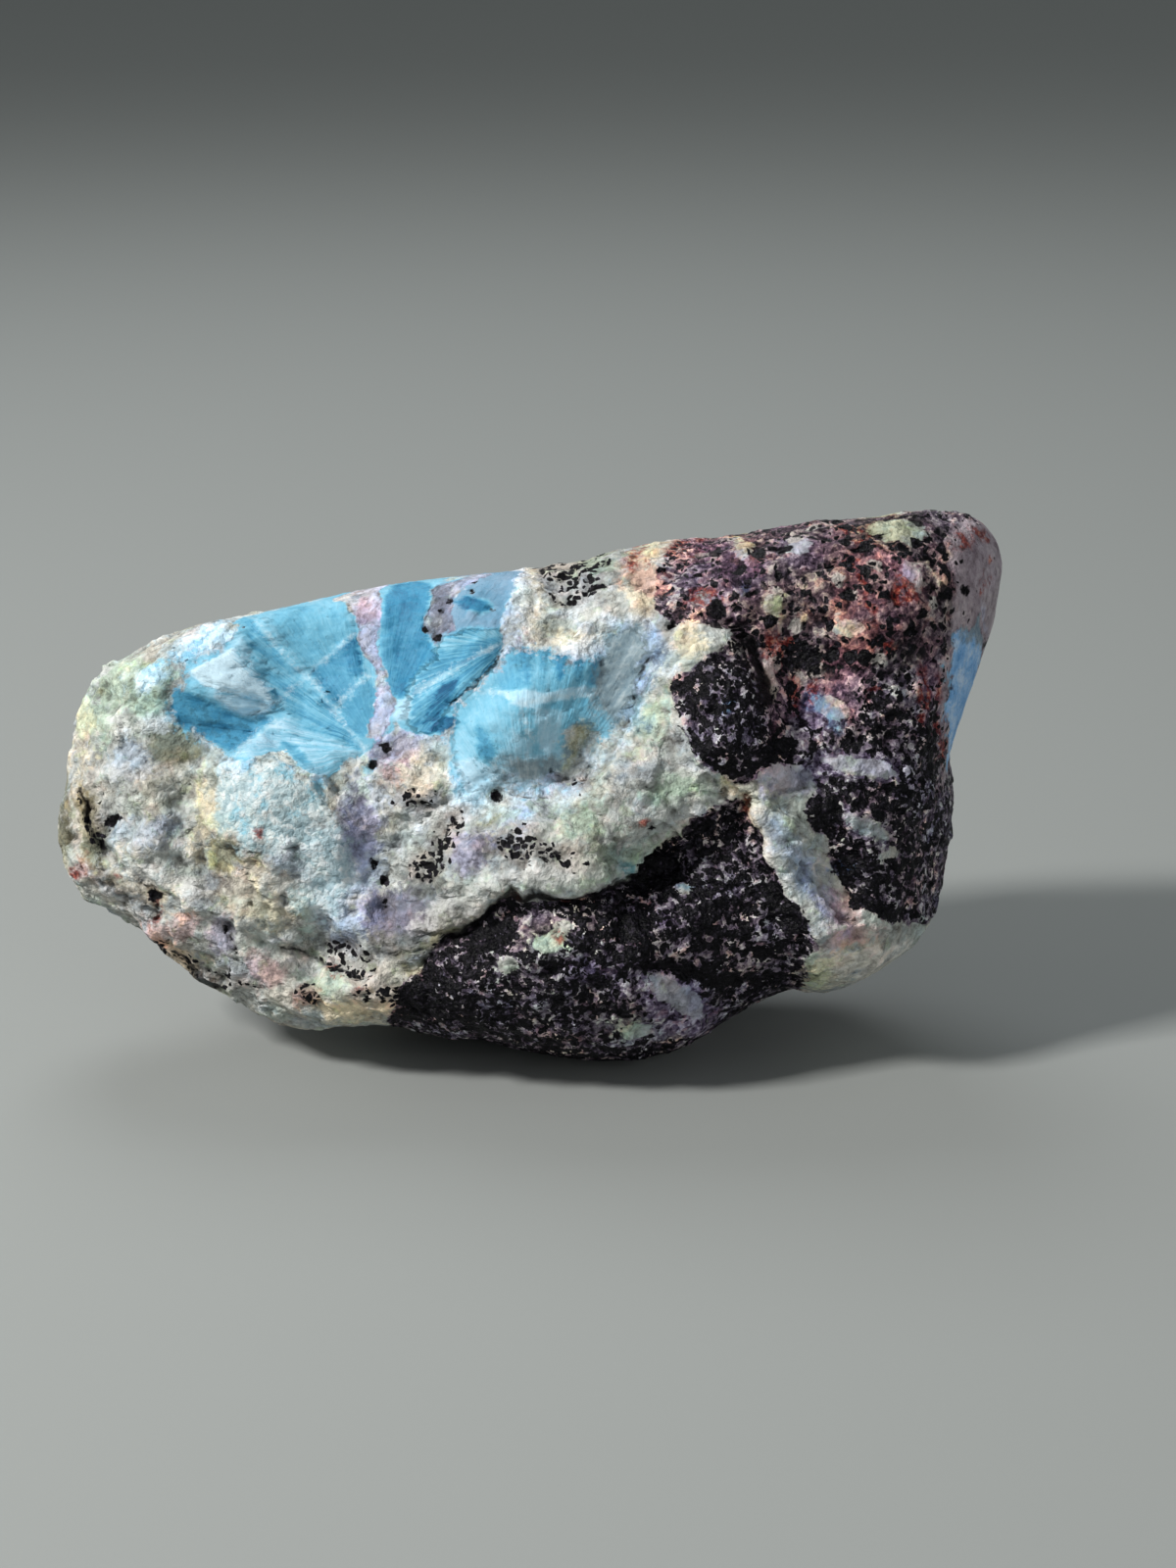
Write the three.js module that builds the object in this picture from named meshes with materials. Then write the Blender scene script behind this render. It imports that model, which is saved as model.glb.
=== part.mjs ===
// A piece of raw larimar: blue pectolite with its pale matrix and dark basalt.
// It is one natural stone, about 120 mm long.
// It stands on a small flat at its foot and leans back a little, with its broken face to the front.
// All lengths are millimetres, +X right, +Y to the back, +Z up.
import * as THREE from "three";
import { ImprovedNoise } from "three/addons/math/ImprovedNoise.js";
import { mergeVertices } from "three/addons/utils/BufferGeometryUtils.js";

// Driving dimensions
const FRONT_BULGE = 17; // the broken face stands this far before the rim
const BACK_BULGE = 26; // the worn back stands this far behind it
const FRONT_SQUARENESS = 3.4; // 2 is a round section, more is flatter with a tighter rim
const BACK_SQUARENESS = 2.4;
const LEFT_TAPER = 0.72; // the left end is this much thinner than the rest
const LEAN = THREE.MathUtils.degToRad(18); // the plane of the rim leans back by this
const SIGHT_DISTANCE = 400; // the face was measured along lines that meet this far before the rim
const SIGHT_HEIGHT = 35.4; // and this far up it
const MIDDLE = new THREE.Vector2(-5, 35.4); // the point of the face that the outline runs round
const HALF_SIZE = new THREE.Vector2(60, 35); // half of the outline's width and height, about
const CENTRE_DEPTH = 3; // the body's centre lies this far behind the plane of the rim
const FOOT_CUT = 0.4; // how much of the lowest rim is worn off flat
const RIM_WANDER = 7; // how far the rim strays out of its plane
const RIM_WAVE = 46; // over waves this long
const TAPER_START = -66; // the left taper runs from here
const TAPER_END = -5; // to here, to the right
const FACE_SHARE = 0.8; // under 1 gives the broken face more of the mesh's corners than the back
const MESH_DETAIL = 19; // an icosahedron's edges are each split in one more than this
const WELD = 1e-5; // corners of the unit sphere nearer than this are one
const POLE = 1e-7; // the hindmost point of the unit sphere is told apart by this

// The craggy ground between the lumps: the height and length of its waves.
const CRAG_HEIGHT = 1.6;
const CRAG_WAVE = 14;
const CHIP_HEIGHT = 1.1;
const CHIP_WAVE = 6;
const STRAY = 1.3; // lumps and ledges stray this far from their smooth lines
const STRAY_WAVE = 7;

// How a lump falls away from its middle, and where the relief fades out.
const LUMP_FALL = 1.2;
const LUMP_SHOULDER = 1.3; // over 1 gives a broader top
const RELIEF_DEPTH = 0.5; // full relief from this share of the bulge inwards, none at the rim
const FACET_CLEAR = 0.93; // none either where a facet cuts the body down to this share or less

// Where each kind of roughness is read from the noise, so that no two are alike.
const NOISE_SHIFT = { strayRight: 11, strayUp: 29, crags: 3, chips: 17, rim: 41, back: 60 };
const LAYER_SHIFT = new THREE.Vector3(7, -3, 5); // and each layer of it

// The outline of the stone, seen square on to the face: right and up, from the lowest point to the left.
const OUTLINE = [
  [2.3, 0], [-3.5, 0.6], [-8.8, 1.6], [-14, 3], [-17.3, 2.9], [-23, 4.3], [-28.5, 4.9],
  [-32, 4.2], [-40.6, 5.3], [-43.9, 7.6], [-49.6, 11.1], [-54.8, 14.6], [-59.8, 19.1],
  [-63.9, 20.6], [-66.2, 24.5], [-67.4, 28.5], [-66.6, 33], [-65.7, 39.5], [-64.1, 46.8],
  [-62.2, 49.4], [-56, 53], [-50.3, 55.4], [-42.6, 57], [-27.5, 60.4], [-15.4, 62],
  [-2.6, 63.3], [5.3, 65.4], [11, 66.5], [19, 67], [26.4, 68.5], [34.5, 69], [40.5, 70],
  [44.5, 70.6], [49.5, 69.5], [52.2, 66.4], [53.4, 64], [52.7, 60.4], [52.4, 56.8],
  [50.8, 52.5], [47.1, 42.4], [46.1, 39.3], [46.8, 33.9], [46, 25.9], [43.9, 17.4],
  [40.3, 13.8], [32.6, 9.4], [29.9, 8.8], [26.9, 9.7], [17.8, 5.6], [11.6, 1.6],
];

// Lumps and hollows of the face: where, half length, half width, turn in degrees, height.
const FACE_LUMPS = [
  { at: [0, 11], half: [27, 11], turn: 6, height: 6 }, // belly of dark basalt
  { at: [8.5, 24], half: [6, 4], turn: 40, height: -3.2 }, // dark hollow under the pale vein
  { at: [-39, 30], half: [10, 11], turn: 0, height: 5.2 }, // pale turquoise knob
  { at: [-50, 29], half: [3.5, 9], turn: 12, height: -2.6 }, // valley left of the knob
  { at: [-57, 34], half: [6, 5], turn: 0, height: 2.2 }, // left cheek
  { at: [-61.5, 30], half: [2, 7], turn: 8, height: -2 }, // groove inside the left rim
  { at: [-57, 48], half: [7, 5], turn: 40, height: 2.4 }, // left shoulder
  { at: [-46, 15], half: [9, 5], turn: -32, height: 2.6 }, // lower left lobe
  { at: [-33, 8], half: [10, 4], turn: -6, height: 2.2 }, // pale rim under it
  { at: [-32, 14], half: [8, 3], turn: -5, height: -1.8 }, // dark furrow between them
  { at: [-36, 48], half: [15, 8], turn: 18, height: -4 }, // dish of the first blue fan
  { at: [-46.5, 47.5], half: [6, 2.6], turn: -8, height: 2.4 }, // white leaf on its left
  { at: [-23, 55], half: [5, 7], turn: 0, height: -2.4 }, // right facet of the fan
  { at: [-8, 43], half: [9, 8], turn: -20, height: 3 }, // second blue fan
  { at: [-1.5, 38.5], half: [3.4, 3.4], turn: 0, height: -3.4 }, // bowl under it
  { at: [-22, 36], half: [6, 5], turn: 0, height: 2.2 }, // beige lump in the middle
  { at: [-25, 22], half: [4, 9], turn: 15, height: -2.2 }, // dip left of the shelf
  { at: [-8, 26], half: [15, 5], turn: 12, height: 3 }, // shelf over the basalt
  { at: [6, 34], half: [9, 5.5], turn: 25, height: 2.4 }, // green and white body of the vein
  { at: [17, 44], half: [7.5, 6], turn: 100, height: 4.2 }, // dark clast in the middle
  { at: [28, 50], half: [5, 9], turn: -10, height: -2.8 }, // hollow beside it
  { at: [37, 58], half: [9, 6], turn: 0, height: 2.8 }, // brow at the top right
  { at: [20, 61], half: [9, 4], turn: 5, height: 2 }, // top swelling
  { at: [6, 58], half: [8, 4], turn: -20, height: 1.8 }, // pale swelling under the top rim
  { at: [3, 50], half: [4, 6], turn: 0, height: -2 }, // grey ground beside the second fan
  { at: [37, 33], half: [8, 9], turn: 0, height: 3 }, // right cheek
  { at: [31, 25], half: [5, 4], turn: -60, height: -2 }, // furrow along the vein's right
  { at: [33, 13], half: [8, 5], turn: -25, height: 3.4 }, // pale corner at the foot
];

// Lumps and hollows of the back, seen from the front.
const BACK_LUMPS = [
  { at: [-30, 38], half: [17, 11], turn: 10, height: 4 },
  { at: [-4, 50], half: [13, 8], turn: -15, height: -3.4 },
  { at: [14, 30], half: [14, 9], turn: 25, height: 3.6 },
  { at: [35, 47], half: [10, 13], turn: 0, height: 3 },
  { at: [-48, 27], half: [8, 9], turn: 0, height: -2.6 },
  { at: [-15, 20], half: [12, 6], turn: -10, height: -3 },
  { at: [30, 18], half: [8, 7], turn: 0, height: 2 },
  { at: [-50, 46], half: [7, 5], turn: 20, height: 2 },
];

// Ledges: a line, and how high, steep and wide the ground on its high side is.
const FACE_LEDGES = [
  {
    // lip of the pale shelf over the dark basalt
    line: [
      [21, 34], [13, 30], [7.5, 25.5], [2.5, 21.6], [-5, 21.4], [-12.5, 20.8], [-17.5, 17], [-23, 11.5],
    ],
    high: "right", rise: 4, soft: 1.3, reach: 8,
  },
  {
    // edge of the pale vein that runs down to the corner
    line: [[20.5, 35], [23, 27], [26.5, 19], [29, 11]],
    high: "left", rise: 3.2, soft: 1.3, reach: 6,
  },
  {
    // sharp top of the turquoise knob
    line: [[-51, 35], [-48, 38.2], [-42, 39.6], [-37, 38.4], [-32, 35]],
    high: "right", rise: 3.2, soft: 1.1, reach: 7,
  },
  {
    // step between the two blue fans
    line: [[-5, 52], [-10, 46.5], [-17.5, 39]],
    high: "left", rise: 2.4, soft: 1.1, reach: 6,
  },
  {
    // crease where the pale band stands over the grey-blue ground
    line: [[12, 57], [8, 49], [5.5, 43], [2.5, 37.5], [-4, 34.5]],
    high: "left", rise: 2.8, soft: 1.2, reach: 6,
  },
  {
    // right wall of the dark clast
    line: [[17, 56.5], [20.6, 51.5], [22.8, 45.5], [23.5, 39]],
    high: "right", rise: 3, soft: 1.1, reach: 6,
  },
  {
    // left wall of the dark clast
    line: [[10.5, 47.5], [12.5, 41], [17, 35.5]],
    high: "left", rise: 1.8, soft: 1.1, reach: 5,
  },
  {
    // ridge between the facets of the first fan
    line: [[-45, 54], [-37, 49], [-31, 41.5]],
    high: "left", rise: 1.6, soft: 1.1, reach: 7,
  },
  {
    // step along the lower left
    line: [[-57, 24], [-50, 19.5], [-42, 16], [-33, 14.5]],
    high: "left", rise: 2.2, soft: 1.3, reach: 6,
  },
  {
    // edge where the dark rock breaks off at the right
    line: [[29, 16], [36, 17.5], [43, 17]],
    high: "left", rise: 2, soft: 1.2, reach: 5,
  },
];

const BACK_LEDGES = [
  {
    // step across the back
    line: [[-44, 52], [-30, 42], [-18, 24], [-14, 12]],
    high: "right", rise: 3.4, soft: 1.8, reach: 14,
  },
  {
    // chip at the back's right
    line: [[8, 60], [16, 46], [30, 38], [42, 30]],
    high: "left", rise: 2.8, soft: 1.8, reach: 11,
  },
];

// Broken faces that cut the body: outward direction and a point on each, both as right, up and
// towards the viewer.
const FACETS = [
  { normal: [0.863, -0.164, 0.479], point: [46, 39.8, 5.5] }, // smooth side at the right
  { normal: [-0.12, 0.1, -1], point: [-20, 36, -21] }, // the back's left face
  { normal: [0.22, -0.05, -1], point: [24, 34, -21.5] }, // the back's right face
  { normal: [-0.1, 0.72, -0.69], point: [-5, 59, -15] }, // bevel along the top of the back
  { normal: [-0.72, 0.15, -0.68], point: [-57, 36, -13] }, // left end of the back
  { normal: [0.7, -0.1, -0.7], point: [41, 36, -14] }, // right end of the back
  { normal: [-0.35, -0.72, -0.6], point: [-38, 11, -9] }, // underside at the left
  { normal: [0.45, -0.7, -0.55], point: [30, 11, -10] }, // underside at the right
];
const FACET_EDGE = 0.06; // roundness of the edges between them, as a share of the body's radius

const noise = new ImprovedNoise();

// Layered noise from -1 to 1, its coarsest waves the given size.
function rough(x, y, z, size, layers = 3) {
  let sum = 0;
  let weight = 0;
  for (let i = 0; i < layers; i++) {
    const scale = 2 ** i / size;
    const at = new THREE.Vector3(x, y, z).multiplyScalar(scale).addScaledVector(LAYER_SHIFT, i);
    sum += noise.noise(at.x, at.y, at.z) / 2 ** i;
    weight += 1 / 2 ** i;
  }
  return sum / weight;
}

// The outline as a radius for each direction from the middle of the face.
const RIM_SAMPLES = 1440;
const rimCurve = new THREE.CatmullRomCurve3(
  OUTLINE.map(([right, up]) => new THREE.Vector3(right - MIDDLE.x, up - MIDDLE.y, 0)),
  true,
  "centripetal",
);
const rim = rimCurve
  .getSpacedPoints(RIM_SAMPLES)
  .map((p) => ({ angle: Math.atan2(p.y, p.x), radius: Math.hypot(p.x, p.y) }))
  .sort((a, b) => a.angle - b.angle);

// The outline's radius in one direction, from the two samples on either side of it.
function rimRadius(angle) {
  let low = 0;
  let high = rim.length - 1;
  if (angle <= rim[low].angle || angle >= rim[high].angle) {
    return (rim[low].radius + rim[high].radius) / 2;
  }
  while (high - low > 1) {
    const mid = (low + high) >> 1;
    if (rim[mid].angle <= angle) low = mid;
    else high = mid;
  }
  const share = (angle - rim[low].angle) / (rim[high].angle - rim[low].angle);
  return THREE.MathUtils.lerp(rim[low].radius, rim[high].radius, share);
}

// Height of one lump at a point of the face.
function lumpHeight({ at, half, turn, height }, right, up) {
  const angle = THREE.MathUtils.degToRad(turn);
  const dx = right - at[0];
  const dy = up - at[1];
  const along = (dx * Math.cos(angle) + dy * Math.sin(angle)) / half[0];
  const across = (dy * Math.cos(angle) - dx * Math.sin(angle)) / half[1];
  return height * Math.exp(-LUMP_FALL * (along * along + across * across) ** LUMP_SHOULDER);
}

// Height of one ledge: it rises across its soft edge, levels out over its reach, and ends gently.
function ledgeHeight({ line, rise, soft, reach, high }, right, up) {
  let nearest = Infinity;
  let signed = Infinity;
  for (let i = 0; i + 1 < line.length; i++) {
    const [ax, ay] = line[i];
    const bx = line[i + 1][0] - ax;
    const by = line[i + 1][1] - ay;
    const reached = ((right - ax) * bx + (up - ay) * by) / (bx * bx + by * by);
    const share = THREE.MathUtils.clamp(reached, 0, 1);
    const dx = right - ax - share * bx;
    const dy = up - ay - share * by;
    const distance = Math.hypot(dx, dy);
    if (distance < nearest) {
      nearest = distance;
      signed = bx * dy - by * dx < 0 === (high === "right") ? distance : -distance;
    }
  }
  const ends = [line[0], line[line.length - 1]]
    .map(([x, y]) => THREE.MathUtils.smoothstep(Math.hypot(right - x, up - y), 0, reach))
    .reduce((share, end) => share * end, 1);
  const fall = Math.exp(-((Math.max(0, signed) / reach) ** 2));
  return rise * ends * fall * THREE.MathUtils.smoothstep(signed, -soft, soft);
}

// How far the lumps and ledges stand out at a point, with a craggy ground between them.
function relief(lumps, ledges, right, up, shift) {
  const x = right + STRAY * rough(right, up, shift + NOISE_SHIFT.strayRight, STRAY_WAVE);
  const y = up + STRAY * rough(right, up, shift + NOISE_SHIFT.strayUp, STRAY_WAVE);
  const lumpSum = lumps.reduce((sum, lump) => sum + lumpHeight(lump, x, y), 0);
  const ledgeSum = ledges.reduce((sum, ledge) => sum + ledgeHeight(ledge, x, y), 0);
  const crags = CRAG_HEIGHT * rough(right, up, shift + NOISE_SHIFT.crags, CRAG_WAVE);
  const chips = CHIP_HEIGHT * Math.abs(rough(right, up, shift + NOISE_SHIFT.chips, CHIP_WAVE, 2));
  return lumpSum + ledgeSum + crags + chips;
}

// More of the sphere's points come to the front, where the face is. The hindmost point stays.
function drawForward(p) {
  if (p.y > 1 - POLE) return new THREE.Vector3(0, 1, 0);
  const flat = new THREE.Vector2(p.x, p.z).multiplyScalar(FACE_SHARE / (1 - p.y));
  const square = flat.lengthSq();
  return new THREE.Vector3(2 * flat.x, square - 1, 2 * flat.y).divideScalar(square + 1);
}

const across = new THREE.Vector3(1, 0, 0);
const upFace = new THREE.Vector3(0, Math.sin(LEAN), Math.cos(LEAN));
const towards = new THREE.Vector3(0, -Math.cos(LEAN), Math.sin(LEAN));

// From the face's own right, up and towards-the-viewer to the part's frame.
function fromFace(right, up, out) {
  return new THREE.Vector3()
    .addScaledVector(across, right)
    .addScaledVector(upFace, up)
    .addScaledVector(towards, out);
}

const eye = fromFace(0, SIGHT_HEIGHT, SIGHT_DISTANCE);
const centre = fromFace(MIDDLE.x, MIDDLE.y, -CENTRE_DEPTH);
const planes = FACETS.map(({ normal, point }) => {
  const n = fromFace(...normal).normalize();
  return { normal: n, distance: fromFace(...point).sub(centre).dot(n) };
});
const foot = { normal: new THREE.Vector3(0, 0, -1), distance: centre.z - FOOT_CUT };

// Moves a point towards the eye, so that it still covers the same spot of the view.
function moveOut(point, out) {
  return point.lerp(eye, out / SIGHT_DISTANCE);
}

// The share of its distance from the middle that a point keeps when a plane cuts it.
function cutShare({ normal, distance }, fromCentre) {
  const reach = fromCentre.dot(normal);
  return reach > 0 ? distance / reach : Infinity;
}

// The smaller of two values, rounded over where they come within k of each other.
function softMinimum(a, b, k) {
  const h = Math.max(0, k - Math.abs(a - b)) / k;
  return Math.min(a, b) - (h * h * k) / 4;
}

// One point of the stone's surface, from a point of the unit sphere whose -Y is the front.
function surfacePoint(onSphere) {
  const p = drawForward(onSphere);
  const span = Math.hypot(p.x, p.z);
  const angle = Math.atan2(p.z * HALF_SIZE.y, p.x * HALF_SIZE.x);
  const front = p.y < 0;
  const power = front ? FRONT_SQUARENESS : BACK_SQUARENESS;
  const section = (span ** power + Math.abs(p.y) ** power) ** (-1 / power);
  const depth = Math.abs(p.y) * section;
  const radius = rimRadius(angle) * span * section;
  const right = MIDDLE.x + radius * Math.cos(angle);
  const up = MIDDLE.y + radius * Math.sin(angle);

  const fullness = THREE.MathUtils.smoothstep(right, TAPER_START, TAPER_END);
  const taper = THREE.MathUtils.lerp(LEFT_TAPER, 1, fullness);
  const bulge = (front ? FRONT_BULGE : -BACK_BULGE) * taper * depth;
  const wander = RIM_WANDER * rough(right, up, NOISE_SHIFT.rim, RIM_WAVE, 2);
  const fromCentre = moveOut(fromFace(right, up, 0), wander + bulge).sub(centre);
  const kept = planes.reduce(
    (share, plane) => softMinimum(share, cutShare(plane, fromCentre), FACET_EDGE),
    1,
  );
  const point = fromCentre.multiplyScalar(Math.min(1, kept)).add(centre);

  const inward = THREE.MathUtils.smoothstep(depth, 0, RELIEF_DEPTH);
  const uncut = THREE.MathUtils.smoothstep(kept, FACET_CLEAR, 1);
  if (front) {
    moveOut(point, inward * uncut * relief(FACE_LUMPS, FACE_LEDGES, right, up, 0));
  } else {
    moveOut(point, -inward * relief(BACK_LUMPS, BACK_LEDGES, right, up, NOISE_SHIFT.back));
  }

  // The foot is worn flat.
  point.sub(centre);
  return point.multiplyScalar(Math.min(1, cutShare(foot, point))).add(centre);
}

// The whole stone, moved so that it stands on the origin's level.
function stoneGeometry() {
  const ball = new THREE.IcosahedronGeometry(1, MESH_DETAIL);
  ball.deleteAttribute("normal");
  ball.deleteAttribute("uv");
  const geometry = mergeVertices(ball, WELD);
  const position = geometry.getAttribute("position");
  const v = new THREE.Vector3();
  for (let i = 0; i < position.count; i++) {
    v.fromBufferAttribute(position, i);
    position.setXYZ(i, ...surfacePoint(v));
  }
  // The origin is under the middle of the stone, on the surface that it stands on.
  geometry.computeBoundingBox();
  const { min, max } = geometry.boundingBox;
  geometry.translate(-(min.x + max.x) / 2, -(min.y + max.y) / 2, -min.z);
  geometry.computeVertexNormals();
  return geometry;
}

const stone = new THREE.Mesh(
  stoneGeometry(),
  new THREE.MeshStandardMaterial({ color: 0x8f9ba0, roughness: 0.75, metalness: 0 }),
);
stone.name = "larimar_stone";

const specimen = new THREE.Group();
specimen.add(stone);

export default specimen;
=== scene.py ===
import math

import bpy
import numpy as np
from mathutils import Matrix, Vector, noise


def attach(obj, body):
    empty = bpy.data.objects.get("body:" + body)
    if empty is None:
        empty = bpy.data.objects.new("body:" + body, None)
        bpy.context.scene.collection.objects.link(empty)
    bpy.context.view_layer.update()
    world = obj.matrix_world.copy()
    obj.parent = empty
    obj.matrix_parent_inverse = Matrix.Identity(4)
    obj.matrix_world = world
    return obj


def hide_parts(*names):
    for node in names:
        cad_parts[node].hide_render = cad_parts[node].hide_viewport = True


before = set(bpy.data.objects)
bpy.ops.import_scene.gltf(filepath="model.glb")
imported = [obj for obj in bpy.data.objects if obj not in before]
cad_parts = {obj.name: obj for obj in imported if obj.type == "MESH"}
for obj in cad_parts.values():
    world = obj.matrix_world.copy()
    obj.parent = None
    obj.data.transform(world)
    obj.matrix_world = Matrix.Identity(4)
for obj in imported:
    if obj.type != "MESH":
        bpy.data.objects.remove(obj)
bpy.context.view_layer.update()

# The view
# The stone leans back by 18 degrees on its foot. It is seen square on to its broken face, from 400 mm in
# front of the rim of that face, with a long lens.
MM = 0.001
LEAN = math.radians(18)
FACE_ZERO = Vector((6.958, -12.075, -0.4))  # the face's own zero point, in the frame's millimetres
SIGHT_DISTANCE = 400
SIGHT_HEIGHT = 35.4
ACROSS = Vector((1, 0, 0))
UP_FACE = Vector((0, math.sin(LEAN), math.cos(LEAN)))
TOWARDS = Vector((0, -math.cos(LEAN), math.sin(LEAN)))


def from_face(right, up, out):
    """A point given on the leaning face, as metres in the frame."""
    return (FACE_ZERO + ACROSS * right + UP_FACE * up + TOWARDS * out) * MM


camera = bpy.data.objects.new("camera", bpy.data.cameras.new("camera"))
camera.data.sensor_width = 36
camera.data.lens = 72
camera.data.clip_end = 20
camera.matrix_world = Matrix((ACROSS, UP_FACE, TOWARDS)).transposed().to_4x4()
camera.location = from_face(0, SIGHT_HEIGHT, SIGHT_DISTANCE)
bpy.context.scene.collection.objects.link(camera)
bpy.context.scene.camera = camera
bpy.context.scene.view_settings.view_transform = "Standard"
bpy.context.scene.view_settings.look = "None"


# The light
# A small bright lamp at the upper left throws the shadow to the right. A wide one above and behind lights
# the top edge, a weak one fills the front, and an even pale surround lights the rest.
STONE_MIDDLE = Vector((0, 0, 0.035))


def lamp(name, place, size, power, colour):
    """A square soft lamp that points at the stone."""
    light = bpy.data.lights.new(name, "AREA")
    light.size = size
    light.energy = power
    light.color = colour
    holder = bpy.data.objects.new(name, light)
    holder.location = place
    holder.rotation_euler = (STONE_MIDDLE - Vector(place)).to_track_quat("-Z", "Y").to_euler()
    bpy.context.scene.collection.objects.link(holder)


lamp("key light", place=(-0.6, -0.3, 0.6), size=0.14, power=9.4, colour=(1, 0.985, 0.96))
lamp("top light", place=(-0.1, 0.5, 0.7), size=0.4, power=2.4, colour=(0.95, 0.98, 1))
lamp("fill light", place=(0.5, -0.7, 0.3), size=0.5, power=1.1, colour=(0.96, 0.98, 1))
surround = bpy.data.worlds.new("surround")
surround.use_nodes = True
surround.node_tree.nodes["Background"].inputs["Color"].default_value = (0.86, 0.92, 0.93, 1)
surround.node_tree.nodes["Background"].inputs["Strength"].default_value = 0.24
bpy.context.scene.world = surround


# The floor
# A plain pale sheet of paper for the stone to rest on while it is looked at. It is no part of the stone, so
# it is only staged.
def colour(red, green, blue):
    """A colour from its 0 to 255 values as seen, as the linear values that the shader takes."""
    seen = [c / 255 for c in (red, green, blue)]
    return (*[c / 12.92 if c < 0.04045 else ((c + 0.055) / 1.055) ** 2.4 for c in seen], 1)


bpy.ops.mesh.primitive_plane_add(size=8, location=(0, 0, 0))
floor = bpy.context.object
floor.name = "floor"
paper = bpy.data.materials.new("pale floor")
paper.use_nodes = True
paper_face = paper.node_tree.nodes["Principled BSDF"]
paper_face.inputs["Base Color"].default_value = colour(143, 146, 144)
paper_face.inputs["Roughness"].default_value = 0.8
floor.data.materials.append(paper)


# The stone's body
# One natural stone, grown as one and never joined: broken at the front, worn at the back, with a small flat
# to rest on. Its mesh is the solid's own, cut finer, so that the broken surface can be worked into it.
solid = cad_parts["larimar_stone"]
stone = bpy.data.objects.new("stone", solid.data.copy())
bpy.context.scene.collection.objects.link(stone)
stone.data.materials.clear()
weld = stone.modifiers.new("weld", "WELD")
weld.merge_threshold = 0.00001
finer = stone.modifiers.new("finer", "SUBSURF")
finer.levels = 2
finer.render_levels = 2
depsgraph = bpy.context.evaluated_depsgraph_get()
fine_mesh = bpy.data.meshes.new_from_object(stone.evaluated_get(depsgraph))
stone.modifiers.clear()
stone.data = fine_mesh
stone.data.name = "stone"

count = len(stone.data.vertices)
place = np.empty(count * 3)
stone.data.vertices.foreach_get("co", place)
place = place.reshape(-1, 3) / MM
lift = np.empty(count * 3)
stone.data.vertices.foreach_get("normal", lift)
lift = lift.reshape(-1, 3)

from_zero = place - np.array(FACE_ZERO)
out = from_zero @ np.array(TOWARDS)
near = 1 - out / SIGHT_DISTANCE
right = (from_zero @ np.array(ACROSS)) / near
up = SIGHT_HEIGHT + (from_zero @ np.array(UP_FACE) - SIGHT_HEIGHT) / near
facing = lift @ np.array(TOWARDS)


def cloudy(size, layers=3, shift=0.0):
    """Layered noise at each point of the stone, about -1 to 1, with its longest waves in millimetres."""
    start = Vector((shift, -shift, 2 * shift))
    return np.array([noise.fractal(Vector(p) / size + start, 1.0, 2.0, layers) for p in place])


# noise_vector starts from the clock unless it is given a seed, and the chips have to be the same each time.
CHIP_SEED = 7


def chipped(size, shift=0.0):
    """Broken chips of about the given millimetres, each a flat with a tilt and a level of its own."""
    noise.seed_set(CHIP_SEED)
    start = Vector((shift, 2 * shift, -shift))
    heights = np.empty(count)
    for i, p in enumerate(place):
        q = Vector(p) / size + start
        q += 0.2 * noise.noise_vector(q * 2.3)
        middle = noise.voronoi(q)[1][0]
        tilt = 2 * noise.cell_vector(middle * 37.7) - Vector((1, 1, 1))
        heights[i] = 1.3 * (q - middle).dot(tilt) + 0.35 * tilt.x
    return heights


edges = np.empty(len(stone.data.edges) * 2, int)
stone.data.edges.foreach_get("vertices", edges)
ends_a, ends_b = edges.reshape(-1, 2).T
neighbours = np.bincount(edges, minlength=count)


def evened(value, rounds):
    """A value spread out over the neighbouring points of the mesh."""
    for _ in range(rounds):
        total = np.bincount(ends_a, value[ends_b], count) + np.bincount(ends_b, value[ends_a], count)
        value = 0.5 * value + 0.5 * total / neighbours
    return value


def smooth(value, low, high):
    """0 below low and 1 above high, with a smooth turn between."""
    share = np.clip((value - low) / (high - low), 0, 1)
    return share * share * (3 - 2 * share)


# Where a mark on the stone is: 8 of the picture's points to the millimetre, counted from the foot's middle.
POINTS_PER_MM = 8
FOOT_POINT = (600, 1083)
# On the slanting top the marks wander a little, and behind the rim a lot, so that none runs straight back.
slanting_top = evened(smooth(facing, 0.75, 0.3), 30) * smooth(up, 50, 58)
TOP_WANDER = 24
BACK_WANDER = 115
wander = TOP_WANDER * slanting_top + BACK_WANDER * smooth(-out, 1, 11)
straight_x = FOOT_POINT[0] + POINTS_PER_MM * right + wander * cloudy(9, 3, 12.3)
straight_y = FOOT_POINT[1] - POINTS_PER_MM * up + wander * cloudy(9, 3, 15.9)
seen_x = straight_x + 5 * cloudy(3.2, 4, 4.1)
seen_y = straight_y + 5 * cloudy(3.2, 4, 9.7)


def to_piece(start, end, x, y):
    """How far each point is from one straight piece of a line, in the picture's points."""
    (ax, ay), (bx, by) = start, end
    length_squared = (bx - ax) ** 2 + (by - ay) ** 2
    share = np.clip(((x - ax) * (bx - ax) + (y - ay) * (by - ay)) / length_squared, 0, 1)
    return np.hypot(x - ax - share * (bx - ax), y - ay - share * (by - ay))


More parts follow.
